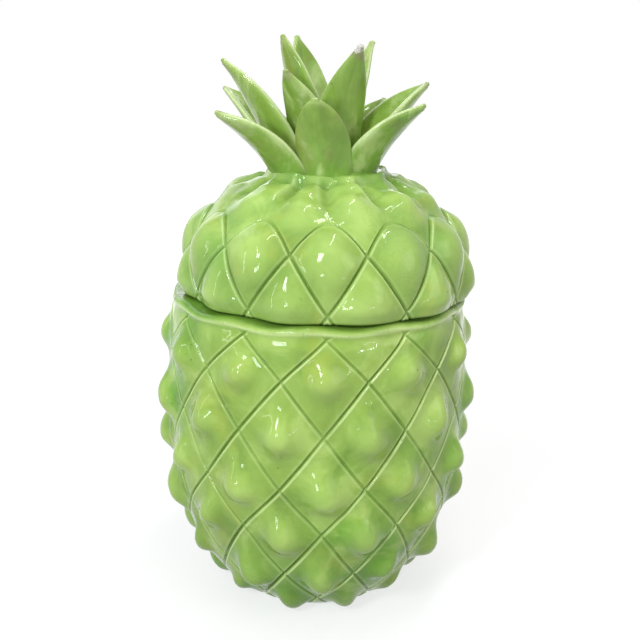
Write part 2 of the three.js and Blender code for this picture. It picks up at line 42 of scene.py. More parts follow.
# Jar
RIM_HEIGHT = 195 * MM
RIM_RADIUS = 88.5 * MM
RIM_ROUND = 2.4 * MM
RIM_LAND = 11 * MM
RIM_LAND_DEPTH = 15 * MM
MOUTH_ROUND = 1.5 * MM
BELLY_RADIUS = 93 * MM
BELLY_HEIGHT = 125 * MM
BASE_RADIUS = 51 * MM
BASE_FULLNESS = 2.5
JAR_WALL = 7 * MM
FLOOR_THICKNESS = 6.5 * MM
FLOOR_FILLET = 14 * MM
FOOT_LAND = 6 * MM
FOOT_RECESS = 2.5 * MM
FOOT_ROUND = 1.5 * MM
FOOT_FADE = 12 * MM
LAND_LEAD = 2 * MM
INSIDE_TOP = RIM_HEIGHT - 4 * MM
INSIDE_LEVELS = 22
FLOOR_ROWS = (30 * MM, 10 * MM)
RECESS_CHAMFER = (0.5 * MM, 0.3 * MM)
RECESS_STEP = 1 * MM
RECESS_ROWS = (20 * MM, 5 * MM)

# Lid, which sits a little to one side of the jar's middle
REST_GAP = 0.3 * MM
LID_SHIFT = 4 * MM
LID_STEP = 2.2 * MM
LID_ROUND = 2 * MM
DOME_HEIGHT = 79 * MM
DOME_FULLNESS = 2.6
DOME_POINT = 0.64
SEAT_DROP = 7 * MM
SEAT_FADE = 3 * MM
LID_WALL = 7.5 * MM
FLANGE_PLAY = 1.6 * MM
FLANGE_WALL = 6 * MM
FLANGE_DEPTH = 12 * MM
FLANGE_ROUND = 1.2 * MM
FLANGE_SPLAY = 0.8
FLANGE_LEAD = 2 * MM
FLANGE_FILLET = (0.6 * MM, 0.2 * MM)
FLANGE_START = 1 * MM
DOME_LEVELS = 20
CEILING_MIDDLE = 8 * MM

# Luting on the lid's seat, which rises against the feet of the leaves
SEAT_LEAD = 0.6 * MM
LUTE_STEPS = 6
LUTE_RISE = 4.2 * MM
LUTE_REACH = 5 * MM
LUTE_UNEVEN = 2.4 * MM
LUTE_TOP = 14 * MM
LUTE_FOOT = 22 * MM
LUTE_FOOT_RISE = 1 * MM
SEAT_MIDDLE = 4 * MM

MOUTH_RADIUS = RIM_RADIUS - RIM_LAND
LID_RADIUS = RIM_RADIUS - LID_STEP
SEAT_HEIGHT = DOME_HEIGHT - SEAT_DROP
LID_BASE = Vector((LID_SHIFT, 0, RIM_HEIGHT + REST_GAP))

# Pattern of diamonds: incised lines cross in rows, and each row lies half a cell round from the last
CELLS_AROUND = 12
LINE_DEPTH = 1.3 * MM
LINE_HALF_WIDTH = 0.78 * MM
LINE_SQUARENESS = 4
LIP_HEIGHT = 0.45 * MM
LIP_AT = 1.35 * MM
LIP_HALF_WIDTH = 0.55 * MM
# A line's lips are raised and carry a painted highlight, most on the lip below the line, which faces the
# light from above; the upper lip keeps this share.
UPPER_LIP = 0.4
LINE_PITCH = 0.8
PILLOW_FULLNESS = 0.5

# Steps of the mesh, and how near a lattice row a point counts as lying on it
DIAMOND_STEPS = 28
LINE_CROWDING = 0.8
OUTLINE_STEPS = 400
EDGE_ROUND_STEPS = 7
ARC_STEPS = 4
SEARCH_STEPS = 40
ROWS_BEYOND = 1.0
CUT_TOLERANCE = 0.002
EDGE_TOLERANCE = 0.004

# Rows share out the wall's length. Pillows and nubs are heights in millimetres, a drop is how far the nub
# lies below its diamond's middle, and down says whether the wall's outline runs downwards.
JAR_PATTERN = {
    "turn": 2.8,
    "rows": [7, 24, 31, 33, 29, 34.5, 30, 18],
    "pillow": [0.6, 1.2, 1.2, 1.2, 1.2, 1.2, 1.4, 1.0],
    "nub": [0, 5.4, 6.4, 6.8, 6.8, 6.6, 4.4, 1.2],
    "drop": [0, -0.02, 0.02, 0.02, 0.02, 0.02, 0.0, 0.0],
    "nub_size": 1.0,
    "line_strength": (1.0, 0.62),
    "down": True,
}
LID_PATTERN = {
    "turn": 0.7,
    "rows": [5, 32, 21.5, 20.5, 19],
    "pillow": [2.6, 4.0, 0.4, 0],
    "nub": [3.4, 2.2, 0, 0],
    "drop": [0.0, 0.07, 0, 0],
    "nub_size": 1.5,
    "line_strength": (0.75, 0.75),
    "down": False,
}

# A nub is a drop: narrower at its top, broad below, with a short steep lower side
NUB_HALF_WIDTH = 0.185
NUB_NARROWING = 0.22
NUB_REACH_UP = 0.2
NUB_REACH_DOWN = 0.14
NUB_FULLNESS = 1.35
NUB_FOOT_RISE = 4

# No two nubs are alike: shares by which their place, size, height and lean vary
NUB_STRAY = 0.03
NUB_SIZE_SPREAD = 0.12
NUB_HEIGHT_SPREAD = 0.16
NUB_LEAN = 0.35
QUIRK_ROW = 12.9
QUIRK_COLUMN = 78.2
QUIRK_KIND = 37.7
SIDE, PLACE, SIZE, HEIGHT, LEAN = range(5)
ROUNDING_ROOM = 0.25

# The lid's lines close in round arches, over which soft bosses and valleys run up to the crown
ARCH_ROUND = 0.28
ARCH_TOP = 0.94
ARCH_BLEND = 0.2
ARCH_FOOT = (0.4, 0.6)
ARCH_FADE = 0.55
ARCH_FADE_ROWS = (0.7, 0.95)
PLEAT_START = 1.3
PLEAT_RUN = 0.2
PLEAT_DEPTH = 3.8 * MM
PLEAT_HALF_WIDTH = 3.6 * MM
PLEAT_STRAY = 0.08
PLEAT_LEAN = 0.7
PLEAT_SPREAD = 0.15
PLEAT_DEPTH_SPREAD = 0.5
PLEAT_ROW = 10
RIDGE_HEIGHT = 0.5 * MM
RIDGE_AT = 4.6 * MM
RIDGE_HALF_WIDTH = 1.3 * MM
RIDGE_RUN = 0.35
BOSS_HEIGHT = 3.2 * MM
BOSS_MIDDLE = 1.24
BOSS_REACH = 0.3
BOSS_HALF_WIDTH = 0.3
BOSS_LEAN = 0.4
BOSS_STRAY = 0.06
BOSS_SPREAD = 0.35
BOSS_FULLNESS = 1.2
BOSS_ROW = 11

# The rim's lip and the lid's edge swell a little between the lines, where the lines themselves die out
EDGE_WAVE = 0.7 * MM
EDGE_WAVE_REACH = 13 * MM
RIM_BAND = (-0.07, 0.03)
LID_EDGE_RELIEF = 0.3
LID_EDGE_FADE = 9 * MM

# The jar's rim: a raised bead over a shallow neck, dipping a little once in each cell
BEAD_HEIGHT = 0.9 * MM
BEAD_AT = 2.6 * MM
BEAD_HALF_WIDTH = 2.2 * MM
BEAD_CREST = 3.6 * MM
BEAD_CREST_HALF_WIDTH = 1.2 * MM
NECK_DEPTH = 0.7 * MM
NECK_AT = 7.5 * MM
NECK_HALF_WIDTH = 3 * MM
RIM_DIP = 1.8 * MM
RIM_DIP_REACH = 11 * MM
RIM_DIP_AT = 0.28

# The lid's collar of luting round the feet of the leaves, and the hollows under it
COLLAR_HEIGHT = 1.3 * MM
COLLAR_AT = 2.8 * MM
COLLAR_HALF_WIDTH = 2 * MM
COLLAR_SIZE = 9 * MM
COLLAR_FADE = (2 * MM, 8 * MM)
HOLLOW_DEPTH = 2.2 * MM
HOLLOW_AT = 7.5 * MM
HOLLOW_HALF_WIDTH = 2.6 * MM
HOLLOW_SIZE = 17 * MM
HOLLOW_SHARE = 0.5

# Unevenness of hand-cut lines and poured clay
WANDER = 0.014
WANDER_SIZE = 60 * MM
WANDER_START = Vector((7, 0, 3))
LINE_WEAR = 0.45
LINE_WEAR_SIZE = 26 * MM
DEEPEST_WEAR = 1.1
LUMPS = ((34 * MM, 0.8 * MM), (13 * MM, 0.4 * MM))
TOP_LUMPS = ((14 * MM, 2.0 * MM), (6 * MM, 0.5 * MM))
TOP_LUMPS_ROWS = (1.0, 1.35)

# What a surface's points carry for its glaze: pooled glaze and painted shade in a hollow, inside or under a
# part and where parts meet; thin glaze and a painted highlight on a height; a line's lip with its painted
# highlight; bare clay
MASKS = ("pool_and_shade", "thin_and_highlight", "lip_and_highlight", "bare")
FOOT_MASKS = (0.0, 0.0, 0.0, 1.5)
# Inside the jar and under the lid the deep colour is painted shade; on the collar round the leaves' feet it
# is pooled glaze and painted shade.
HIDDEN_MASKS = (1.6, 0.0, 0.0, 0.0)
COLLAR_MASKS = (0.5, 0.0, 0.0, 0.0)
# Incised lines, the lid's valleys and the hollows under its collar darken with pooled glaze and with
# painted shade.
LINE_POOL_AND_SHADE = 0.95
VALLEY_POOL_AND_SHADE = 0.8
HOLLOW_POOL_AND_SHADE = 0.7
# Painted shadow along the top of the jar's rim, under the lid's edge.
RIM_SHADE = 1.3
RIM_SHADE_REACH = 1.8 * MM
# Painted shadow along the lid's lower edge, which darkens the gap over the rim.
LID_EDGE_SHADE = 2
LID_EDGE_SHADE_REACH = 1.8 * MM
# Nubs and bosses are paler on top: thin glaze and a painted highlight.
NUB_THIN_AND_HIGHLIGHT = 0.9
# A painted highlight on the lid's ridges and on the crest of the jar's bead, which also swell a little with
# it.
RIDGE_LIP_HIGHLIGHT = 0.6
BEAD_LIP_HIGHLIGHT = 0.9


class Outline:
    """A wall's outline in the r, z plane, walked by its length."""

    def __init__(self, points):
        self.points = [Vector(p) for p in points]
        self.lengths = [0.0]
        for here, there in zip(self.points, self.points[1:]):
            self.lengths.append(self.lengths[-1] + (there - here).length)
        self.length = self.lengths[-1]

    def at(self, s):
        """Radius and height at length s, and the outward normal there."""
        inside = min(max(s, 0.0), self.length)
        low, high = 1, len(self.points) - 1
        while low < high:
            middle = (low + high) // 2
            if self.lengths[middle] < inside:
                low = middle + 1
            else:
                high = middle
        span = self.lengths[low] - self.lengths[low - 1]
        share = (inside - self.lengths[low - 1]) / span
        here = self.points[low - 1].lerp(self.points[low], share)
        way = (self.points[low] - self.points[low - 1]).normalized()
        normal = (-way.y, way.x) if way.y < 0 else (way.y, -way.x)
        return here.x, here.y, normal


def smooth(value, low, high):
    """A soft rise from nought at low to one at high."""
    t = min(max((value - low) / (high - low), 0.0), 1.0)
    return t * t * (3 - 2 * t)


def swell(value, middle, half_width):
    """A soft hump: one at the middle, dying out on both sides."""
    return math.exp(-(((value - middle) / half_width) ** 2))


def unevenness(spot, lumps):
    return sum(depth * noise.noise(spot / size) for size, depth in lumps)


def angle_at(u):
    """Angle round the axis at lattice place u, from -Y towards +X."""
    return u / CELLS_AROUND * 2 * math.pi


def on_circle(radius, angle, z):
    return Vector((radius * math.sin(angle), -radius * math.cos(angle), z))


def jar_radius(z):
    if z >= BELLY_HEIGHT:
        up = (z - BELLY_HEIGHT) / (RIM_HEIGHT - BELLY_HEIGHT)
        return BELLY_RADIUS - (BELLY_RADIUS - RIM_RADIUS) * up ** 2
    down = (BELLY_HEIGHT - z) / BELLY_HEIGHT
    drawn_in = 1 - (BASE_RADIUS / BELLY_RADIUS) ** 2
    return BELLY_RADIUS * math.sqrt(1 - drawn_in * down ** BASE_FULLNESS)


def jar_outline():
    heights = [RIM_HEIGHT * (1 - i / OUTLINE_STEPS) for i in range(OUTLINE_STEPS + 1)]
    return Outline([(jar_radius(z), z) for z in heights])


def dome_radius(z, wall=0.0):
    rise = min(z / (DOME_HEIGHT - wall), 1.0)
    return (LID_RADIUS - wall) * (1 - rise ** DOME_FULLNESS) ** DOME_POINT


def dome_outline():
    turns = [i / OUTLINE_STEPS * math.pi / 2 for i in range(OUTLINE_STEPS + 1)]
    return Outline([(dome_radius(SEAT_HEIGHT * math.sin(t)), SEAT_HEIGHT * math.sin(t)) for t in turns])


def row_places(rows, length):
    """Lengths along the wall at which the rows of crossings lie."""
    whole = sum(rows)
    return [sum(rows[: k + 1]) / whole * length for k in range(len(rows) - 1)]


def along_wall(places, v):
    """Length along the wall at lattice row v, which grows by a half from one row to the next."""
    last = len(places) - 1
    k = min(max(math.floor(2 * v), 0), last - 1)
    t = 2 * v - k
    step = places[k + 1] - places[k]
    slope_in = (places[k + 1] - places[k - 1]) / 2 if k > 0 else step
    slope_out = (places[k + 2] - places[k]) / 2 if k < last - 1 else step
    if t < 0:
        return places[k] + t * slope_in
    if t > 1:
        return places[k + 1] + (t - 1) * slope_out
    share = t * t * (3 - 2 * t)
    return places[k] + step * share + t * (1 - t) * ((1 - t) * slope_in - t * slope_out)


def row_at(places, s):
    """The lattice row at length s along the wall."""
    low, high = -ROWS_BEYOND, len(places) / 2 + ROWS_BEYOND
    for _ in range(SEARCH_STEPS):
        middle = (low + high) / 2
        if along_wall(places, middle) < s:
            low = middle
        else:
            high = middle
    return (low + high) / 2


def quirk(row, column, kind):
    """What makes each diamond its own: a value from -1 to 1 that seems drawn by lot."""
    return math.sin(QUIRK_ROW * row + QUIRK_COLUMN * (column % CELLS_AROUND) + QUIRK_KIND * kind)


def arch_rise(u, v):
    """How far the upper lines of the lid's big scales rise to close them in a round arch."""
    from_middle = abs(u - round(u))
    straight = 1 - from_middle
    fall = math.hypot(from_middle, ARCH_ROUND) - ARCH_ROUND
    arch = ARCH_TOP - fall * (ARCH_TOP - 0.5) / (math.hypot(0.5, ARCH_ROUND) - ARCH_ROUND)
    near = swell(v, straight, ARCH_BLEND)
    return (arch - straight) * near * smooth(v, *ARCH_FOOT)


def nub_height(pattern, row, column, sideways, along):
    """A drop-shaped nub as a share of its row's height, in the diamond's own coordinates."""
    down = (along if pattern["down"] else -along) - pattern["drop"][row]
    down -= NUB_STRAY * quirk(row, column, PLACE)
    size = pattern["nub_size"] * (1 + NUB_SIZE_SPREAD * quirk(row, column, SIZE))
    reach = (NUB_REACH_DOWN if down > 0 else NUB_REACH_UP) * size
    narrow = 1 - NUB_NARROWING * min(max(-down / reach, 0.0), 1.0)
    sideways -= NUB_STRAY * quirk(row, column, SIDE) + NUB_LEAN * quirk(row, column, LEAN) * down
    across = sideways / (NUB_HALF_WIDTH * size * narrow)
    height = 1 + NUB_HEIGHT_SPREAD * quirk(row, column, HEIGHT)
    return height * math.exp(-(across ** 2 + (down / reach) ** 2) ** NUB_FULLNESS)


def relief(pattern, u, v, radius):
    """At lattice place u, v: the height over the wall, and the shares of line, lip with its painted
    highlight, and nub.
    """
    rising, falling = u + v, u - v
    a, b = rising - math.floor(rising), falling - math.floor(falling)
    sideways, along = (a + b - 1) / 2, (a - b) / 2
    row = min(max(round(2 * (v - along)), 0), len(pattern["pillow"]) - 1)
    column = math.floor(u - sideways + ROUNDING_ROOM)
    dome = max(math.sin(math.pi * a) * math.sin(math.pi * b), 0.0)
    nub = nub_height(pattern, row, column, sideways, along) * min(dome * NUB_FOOT_RISE, 1.0)
    pitch = 2 * math.pi * radius / CELLS_AROUND * LINE_PITCH
    lines = [min(a, 1 - a) * pitch, min(b, 1 - b) * pitch]
    below = [(a < 0.5) == pattern["down"], (b > 0.5) == pattern["down"]]
    strengths = list(pattern["line_strength"])
    if not pattern["down"] and v > 0.5:
        over = v - 1 + abs(u - round(u))
        lines, below = [abs(over) * pitch], [over < 0]
        strengths = [strengths[0] * (1 - ARCH_FADE * smooth(v, *ARCH_FADE_ROWS))]
    cuts = [strength * math.exp(-((away / LINE_HALF_WIDTH) ** LINE_SQUARENESS))
            for away, strength in zip(lines, strengths)]
    # Lips carry a painted highlight, brighter below the line where it faces the light from above.
    lips_and_highlights = [strength ** 2 * (1 if low else UPPER_LIP) * swell(away, LIP_AT, LIP_HALF_WIDTH)
            for away, strength, low in zip(lines, strengths, below)]
    cut = max(cuts)
    lip_and_highlight = max(lips_and_highlights) * (1 - cut)
    pillow = pattern["pillow"][row] * MM * dome ** PILLOW_FULLNESS
    return pillow + pattern["nub"][row] * MM * nub, cut, lip_and_highlight, nub


def pleats(u, v, radius):
    """The lid's top: soft valleys on whole u, each with a ridge on one side, and bosses between them."""
    fold, knoll = round(u), math.floor(u)
    lean = PLEAT_LEAN * quirk(PLEAT_ROW, fold, LEAN) * (v - PLEAT_START)
    stray = PLEAT_STRAY * quirk(PLEAT_ROW, fold, SIDE) + lean
    from_valley = (u - fold - stray) * 2 * math.pi * radius / CELLS_AROUND
    start = PLEAT_START + PLEAT_SPREAD * quirk(PLEAT_ROW, fold, PLACE)
    depth = 1 + PLEAT_DEPTH_SPREAD * quirk(PLEAT_ROW, fold, SIZE)
    valley = depth * smooth(v, start - PLEAT_RUN, start + PLEAT_RUN)
    valley *= swell(from_valley, 0, PLEAT_HALF_WIDTH)
    ridge = depth / (1 + PLEAT_DEPTH_SPREAD) * swell(from_valley, -RIDGE_AT, RIDGE_HALF_WIDTH)
    ridge *= smooth(v, start - RIDGE_RUN, start + RIDGE_RUN)
    rise = v - BOSS_MIDDLE - BOSS_STRAY * quirk(BOSS_ROW, knoll, PLACE)
    to_boss = u - knoll - 0.5 - BOSS_LEAN * quirk(BOSS_ROW, knoll, LEAN) * rise
    away = (to_boss / BOSS_HALF_WIDTH) ** 2 + (rise / BOSS_REACH) ** 2
    boss = math.exp(-away ** BOSS_FULLNESS) * (1 + BOSS_SPREAD * quirk(BOSS_ROW, knoll, HEIGHT))
    return valley, boss, ridge


def lid_forms(u, v, s, to_seat, radius, spot, height, lip_and_highlight, nub):
    """Adds the lid's bosses, valleys, ridges, collar and hollows to its diamonds, and gives its pooled
    glaze and painted shade in valleys and hollows, painted shadow along its edge, and painted highlights on
    ridges and bosses.
    """
    away_from_seat = smooth(to_seat, *COLLAR_FADE)
    valley, boss, ridge = (share * away_from_seat for share in pleats(u, v, radius))
    height *= LID_EDGE_RELIEF + (1 - LID_EDGE_RELIEF) * smooth(s, 0, LID_EDGE_FADE)
    height += BOSS_HEIGHT * boss - PLEAT_DEPTH * valley + RIDGE_HEIGHT * ridge
    collar = (1 + noise.noise(spot / COLLAR_SIZE)) * swell(to_seat, COLLAR_AT, COLLAR_HALF_WIDTH)
    hollow = max(HOLLOW_SHARE + noise.noise(spot / HOLLOW_SIZE), 0.0)
    hollow *= swell(to_seat, HOLLOW_AT, HOLLOW_HALF_WIDTH)
    height += COLLAR_HEIGHT * collar - HOLLOW_DEPTH * hollow
    edge = LID_EDGE_SHADE * (1 - smooth(s, 0, LID_EDGE_SHADE_REACH))
    pool_and_shade = max(VALLEY_POOL_AND_SHADE * valley, HOLLOW_POOL_AND_SHADE * hollow, edge)
    return height, max(lip_and_highlight, RIDGE_LIP_HIGHLIGHT * ridge), max(nub, boss), pool_and_shade


def rim_forms(s, height, lip_and_highlight):
    """Adds the jar's bead and neck to its diamonds, with a painted highlight on the bead's crest, and gives
    the painted shadow along the top of its rim.
    """
    height += BEAD_HEIGHT * swell(s, BEAD_AT, BEAD_HALF_WIDTH)
    height -= NECK_DEPTH * swell(s, NECK_AT, NECK_HALF_WIDTH)
    lip_and_highlight = max(lip_and_highlight, BEAD_LIP_HIGHLIGHT * swell(s, BEAD_CREST, BEAD_CREST_HALF_WIDTH))
    return height, lip_and_highlight, RIM_SHADE * (1 - smooth(s, 0, RIM_SHADE_REACH))


def rim_dip(u, s):
    """How far the jar's rim dips, once in each cell round."""
    share = 0.5 + 0.5 * math.cos(2 * math.pi * (u - RIM_DIP_AT))
    return RIM_DIP * share * (1 - smooth(s, 0, RIM_DIP_REACH))


def mark(layers, vertex, masks):
    for layer, value in zip(layers, masks):
        vertex[layer] = value


class PatternedWall:
    """A wall with the diamonds, as a mesh whose rows and columns run along the incised lines."""

    def __init__(self, outline, pattern, edge_round, end_round, fade, pleated):
        self.outline = outline
        self.pattern = pattern
        self.edge_round = edge_round
        self.end_round = end_round
        self.fade = fade
        self.pleated = pleated
        self.places = row_places(pattern["rows"], outline.length)
        self.first = row_at(self.places, edge_round)
        self.last = row_at(self.places, outline.length - end_round)
        self.bm = bmesh.new()
        self.layers = [self.bm.verts.layers.float.new(name) for name in MASKS]

    def place(self, u, v, s=None, inset=0.0):
        """Point and masks at a place on the wall. A place within an edge's round stays level."""
        level = s is not None
        if s is None:
            s = along_wall(self.places, v + arch_rise(u, v) if self.pleated else v)
        r, z, normal = self.outline.at(s)
        angle = angle_at(u) + math.radians(self.pattern["turn"])
        spot = on_circle(r, angle, z)
        angle += angle_at(WANDER * noise.noise(spot / WANDER_SIZE + WANDER_START))
        height, cut, lip_and_highlight, nub = relief(self.pattern, u, v, r)
        wear = 1 + LINE_WEAR * noise.noise(spot / LINE_WEAR_SIZE)
        cut, lip_and_highlight = cut * min(wear, DEEPEST_WEAR), lip_and_highlight * wear
        to_end = self.outline.length - s
        if self.pleated:
            height, lip_and_highlight, nub, pool_and_shade = lid_forms(u, v, s, to_end, r, spot, height, lip_and_highlight, nub)
            height += unevenness(spot, TOP_LUMPS) * smooth(v, *TOP_LUMPS_ROWS)
        else:
            band = smooth(v, *RIM_BAND)
            cut, nub = cut * band, nub * band
            height, lip_and_highlight, pool_and_shade = rim_forms(s, height * band, lip_and_highlight * band)
            z -= rim_dip(u, s)
        height += LIP_HEIGHT * lip_and_highlight - LINE_DEPTH * cut + unevenness(spot, LUMPS)
        height += EDGE_WAVE * math.cos(2 * math.pi * (u - 0.5)) * (1 - smooth(s, 0, EDGE_WAVE_REACH))
        height *= smooth(to_end, self.end_round, self.fade)
        height -= inset
        if not level:
            z += normal[1] * height
        point = on_circle(r + normal[0] * height, angle, z)
        # Masks: pooled glaze and painted shade, thin glaze with a painted highlight on nubs, the lip's
        # painted highlight, and bare clay.
        return point, (max(LINE_POOL_AND_SHADE * cut, pool_and_shade), NUB_THIN_AND_HIGHLIGHT * nub, lip_and_highlight, 0.0)

    def build_sheet(self):
        """The diamonds as patches on a cylinder of lattice places, cut off at both ends and then shaped."""
        n = DIAMOND_STEPS
        around = CELLS_AROUND * n
        crowd = [t / n - LINE_CROWDING * math.sin(2 * math.pi * t / n) / (2 * math.pi)
                 for t in range(n + 1)]
        verts = {}

        def vert(i, j, a, b):
            key = (i * n + a, j * n + b)
            laps = (key[0] + key[1]) // (2 * around)
            key = (key[0] - around * laps, key[1] - around * laps)
            if key not in verts:
                p, q = i + crowd[a], j + crowd[b]
                verts[key] = self.bm.verts.new(on_circle(1, angle_at((p + q) / 2), (p - q) / 2))
            return verts[key]

        for d in range(math.floor(2 * self.first) - 1, math.ceil(2 * self.last) + 2):
            lowest = math.ceil(-(d + 1) / 2)
            for j in range(lowest, lowest + CELLS_AROUND):
                for a in range(n):
                    for b in range(n):
                        i = d + j
                        corners = [vert(i, j, a, b), vert(i, j, a + 1, b),
                                   vert(i, j, a + 1, b + 1), vert(i, j, a, b + 1)]
                        self.bm.faces.new(corners)
        for row, keep_above in ((self.first, True), (self.last, False)):
            geometry = self.bm.verts[:] + self.bm.edges[:] + self.bm.faces[:]
            bmesh.ops.bisect_plane(self.bm, geom=geometry, dist=CUT_TOLERANCE, plane_co=(0, 0, row),
                                   plane_no=(0, 0, 1), clear_inner=keep_above, clear_outer=not keep_above)
        self.edges = {}
        for row in (self.first, self.last):
            loop = [v for v in self.bm.verts if v.is_boundary and abs(v.co.z - row) < EDGE_TOLERANCE]
            self.edges[row] = sorted(((self.turn_of(v.co), v) for v in loop), key=lambda item: item[0])
            for _, vertex in self.edges[row]:
                vertex.co.z = row
        for vertex in self.bm.verts:
            self.shape(vertex, self.turn_of(vertex.co), vertex.co.z)

    @staticmethod
    def turn_of(co):
        """The lattice place u of a point on the cylinder of lattice places."""
        return math.atan2(co.x, -co.y) / (2 * math.pi) * CELLS_AROUND % CELLS_AROUND

    def shape(self, vertex, u, v, s=None, inset=0.0):
        vertex.co, masks = self.place(u, v, s, inset)
        mark(self.layers, vertex, masks)

    def add_row(self, ring, fill):
        """A new row of vertices joined to the last: ring is [(u, vertex)], fill places each new vertex."""
        fresh = []
        for u, _ in ring:
            vertex = self.bm.verts.new()
            fill(vertex, u)
            fresh.append((u, vertex))
        for k in range(len(ring)):
            here, there = k, (k + 1) % len(ring)
            self.bm.faces.new([ring[here][1], ring[there][1], fresh[there][1], fresh[here][1]])
        return fresh

    def round_edge(self, row, at_start):
        """Rounds the wall's edge over by a quarter circle and returns its last row."""
        radius = self.edge_round if at_start else self.end_round
        ring = self.edges[row]
        for k in range(1, EDGE_ROUND_STEPS + 1):
            turn = k / EDGE_ROUND_STEPS * math.pi / 2
            run = radius * (1 - math.sin(turn))
            s = run if at_start else self.outline.length - run
            inset = radius * (1 - math.cos(turn))
            v = row_at(self.places, s)
            ring = self.add_row(ring, lambda vertex, u: self.shape(vertex, u, v, s, inset))
        return ring

    def follow(self, ring, profile, masks):
        """Carries the surface on along a profile of (r, z) or (r, z, unevenness), closed at the middle."""
        turn = math.radians(self.pattern["turn"])

        def fill(r, z, uneven):
            def put(vertex, u):
                spot = on_circle(r, angle_at(u) + turn, z)
                vertex.co = spot + Vector((0, 0, uneven * noise.noise(spot / COLLAR_SIZE)))
                mark(self.layers, vertex, masks)
            return put

        for r, z, *uneven in profile:
            ring = self.add_row(ring, fill(r, z, sum(uneven)))
        middle = self.bm.verts.new((0, 0, profile[-1][1]))
        for k in range(len(ring)):
            self.bm.faces.new([ring[k][1], ring[(k + 1) % len(ring)][1], middle])

    def finish(self, name, shift):
        bmesh.ops.translate(self.bm, verts=self.bm.verts, vec=shift)
        return mesh_object(name, self.bm)


def mesh_object(name, bm):
    bmesh.ops.recalc_face_normals(bm, faces=bm.faces)
    mesh = bpy.data.meshes.new(name)
    bm.to_mesh(mesh)
    bm.free()
    for polygon in mesh.polygons:
        polygon.use_smooth = True
    piece = bpy.data.objects.new(name, mesh)
    bpy.context.collection.objects.link(piece)
    return piece


def arc(centre, radius, start, end):
    """Points of a round stretch in the r, z plane, angles in degrees from +r towards +z."""
    turns = [math.radians(start + (end - start) * k / ARC_STEPS) for k in range(1, ARC_STEPS + 1)]
    return [(centre[0] + radius * math.cos(t), centre[1] + radius * math.sin(t)) for t in turns]


def jar_inside():
    """From the rim's land down the smooth inside wall to the floor."""
    floor = FOOT_RECESS + FLOOR_THICKNESS
    profile = [(MOUTH_RADIUS + MOUTH_ROUND + LAND_LEAD, RIM_HEIGHT)]
    profile += arc((MOUTH_RADIUS + MOUTH_ROUND, RIM_HEIGHT - MOUTH_ROUND), MOUTH_ROUND, 90, 180)
    for k in range(INSIDE_LEVELS + 1):
        z = INSIDE_TOP + (floor - INSIDE_TOP) * k / INSIDE_LEVELS
        to_mouth = smooth(z, RIM_HEIGHT - RIM_LAND_DEPTH, INSIDE_TOP)
        to_floor = max(floor + FLOOR_FILLET - z, 0.0)
        fillet = FLOOR_FILLET - math.sqrt(max(FLOOR_FILLET ** 2 - to_floor ** 2, 0.0))
        wall = jar_radius(z) - JAR_WALL
        profile.append((wall + (MOUTH_RADIUS - wall) * to_mouth - fillet, z))
    return profile + [(r, floor) for r in FLOOR_ROWS]


def jar_underside():
    """From the foot ring's rounded edge over its land into the recess."""
    land_end = BASE_RADIUS - FOOT_ROUND - FOOT_LAND
    recess = land_end - FOOT_RECESS
    across, up = RECESS_CHAMFER
    profile = [(land_end + across, 0), (land_end, up)]
    return profile + [(r, FOOT_RECESS) for r in (recess, recess - RECESS_STEP, *RECESS_ROWS)]


def make_jar():
    wall = PatternedWall(jar_outline(), JAR_PATTERN, RIM_ROUND, FOOT_ROUND, FOOT_FADE, False)
    wall.build_sheet()
    wall.follow(wall.round_edge(wall.first, True), jar_inside(), HIDDEN_MASKS)
    wall.follow(wall.round_edge(wall.last, False), jar_underside(), FOOT_MASKS)
    jar = wall.finish("glazed_jar", Vector((0, 0, 0)))
    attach(jar, "jar")
    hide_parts("jar")
    return jar


def lid_inside():
    """Under the lid: the bearing edge, the flange, and the hollow of the dome."""
    outer = MOUTH_RADIUS - LID_SHIFT - FLANGE_PLAY
    inner = outer - FLANGE_WALL
    across, down = FLANGE_FILLET
    foot = FLANGE_ROUND - FLANGE_DEPTH
    profile = [(outer + FLANGE_LEAD, 0), (outer + across, -down), (outer, -FLANGE_START)]
    profile += arc((outer - FLANGE_ROUND, foot), FLANGE_ROUND, 0, -90)
    profile += arc((inner + FLANGE_ROUND, foot), FLANGE_ROUND, -90, -180)
    ceiling = SEAT_HEIGHT - LID_WALL
    for k in range(DOME_LEVELS + 1):
        z = ceiling * math.sin(k / DOME_LEVELS * math.pi / 2)
        profile.append((min(dome_radius(z, LID_WALL), inner + z * FLANGE_SPLAY), z))
    return profile + [(CEILING_MIDDLE, ceiling)]


def lid_crown():
    """On the seat: the luting that rises against the feet of the leaves."""
    seat = dome_radius(SEAT_HEIGHT)
    edge = seat - SEAT_LEAD
    profile = [(edge, SEAT_HEIGHT)]
    for k in range(1, LUTE_STEPS + 1):
        share = k / LUTE_STEPS
        z = SEAT_HEIGHT + LUTE_RISE * share ** 2
        profile.append((edge - LUTE_REACH * share, z, LUTE_UNEVEN * share))
    return profile + [(seat - LUTE_TOP, SEAT_HEIGHT + LUTE_RISE),
                      (seat - LUTE_FOOT, SEAT_HEIGHT + LUTE_FOOT_RISE), (SEAT_MIDDLE, SEAT_HEIGHT)]


def make_lid():
    wall = PatternedWall(dome_outline(), LID_PATTERN, LID_ROUND, 0.0, SEAT_FADE, True)
    wall.build_sheet()
    wall.follow(wall.round_edge(wall.first, True), lid_inside(), HIDDEN_MASKS)
    wall.follow(wall.edges[wall.last], lid_crown(), COLLAR_MASKS)
    lid = wall.finish("glazed_lid", LID_BASE)
    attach(lid, "lid")
    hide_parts("lid")
    return lid


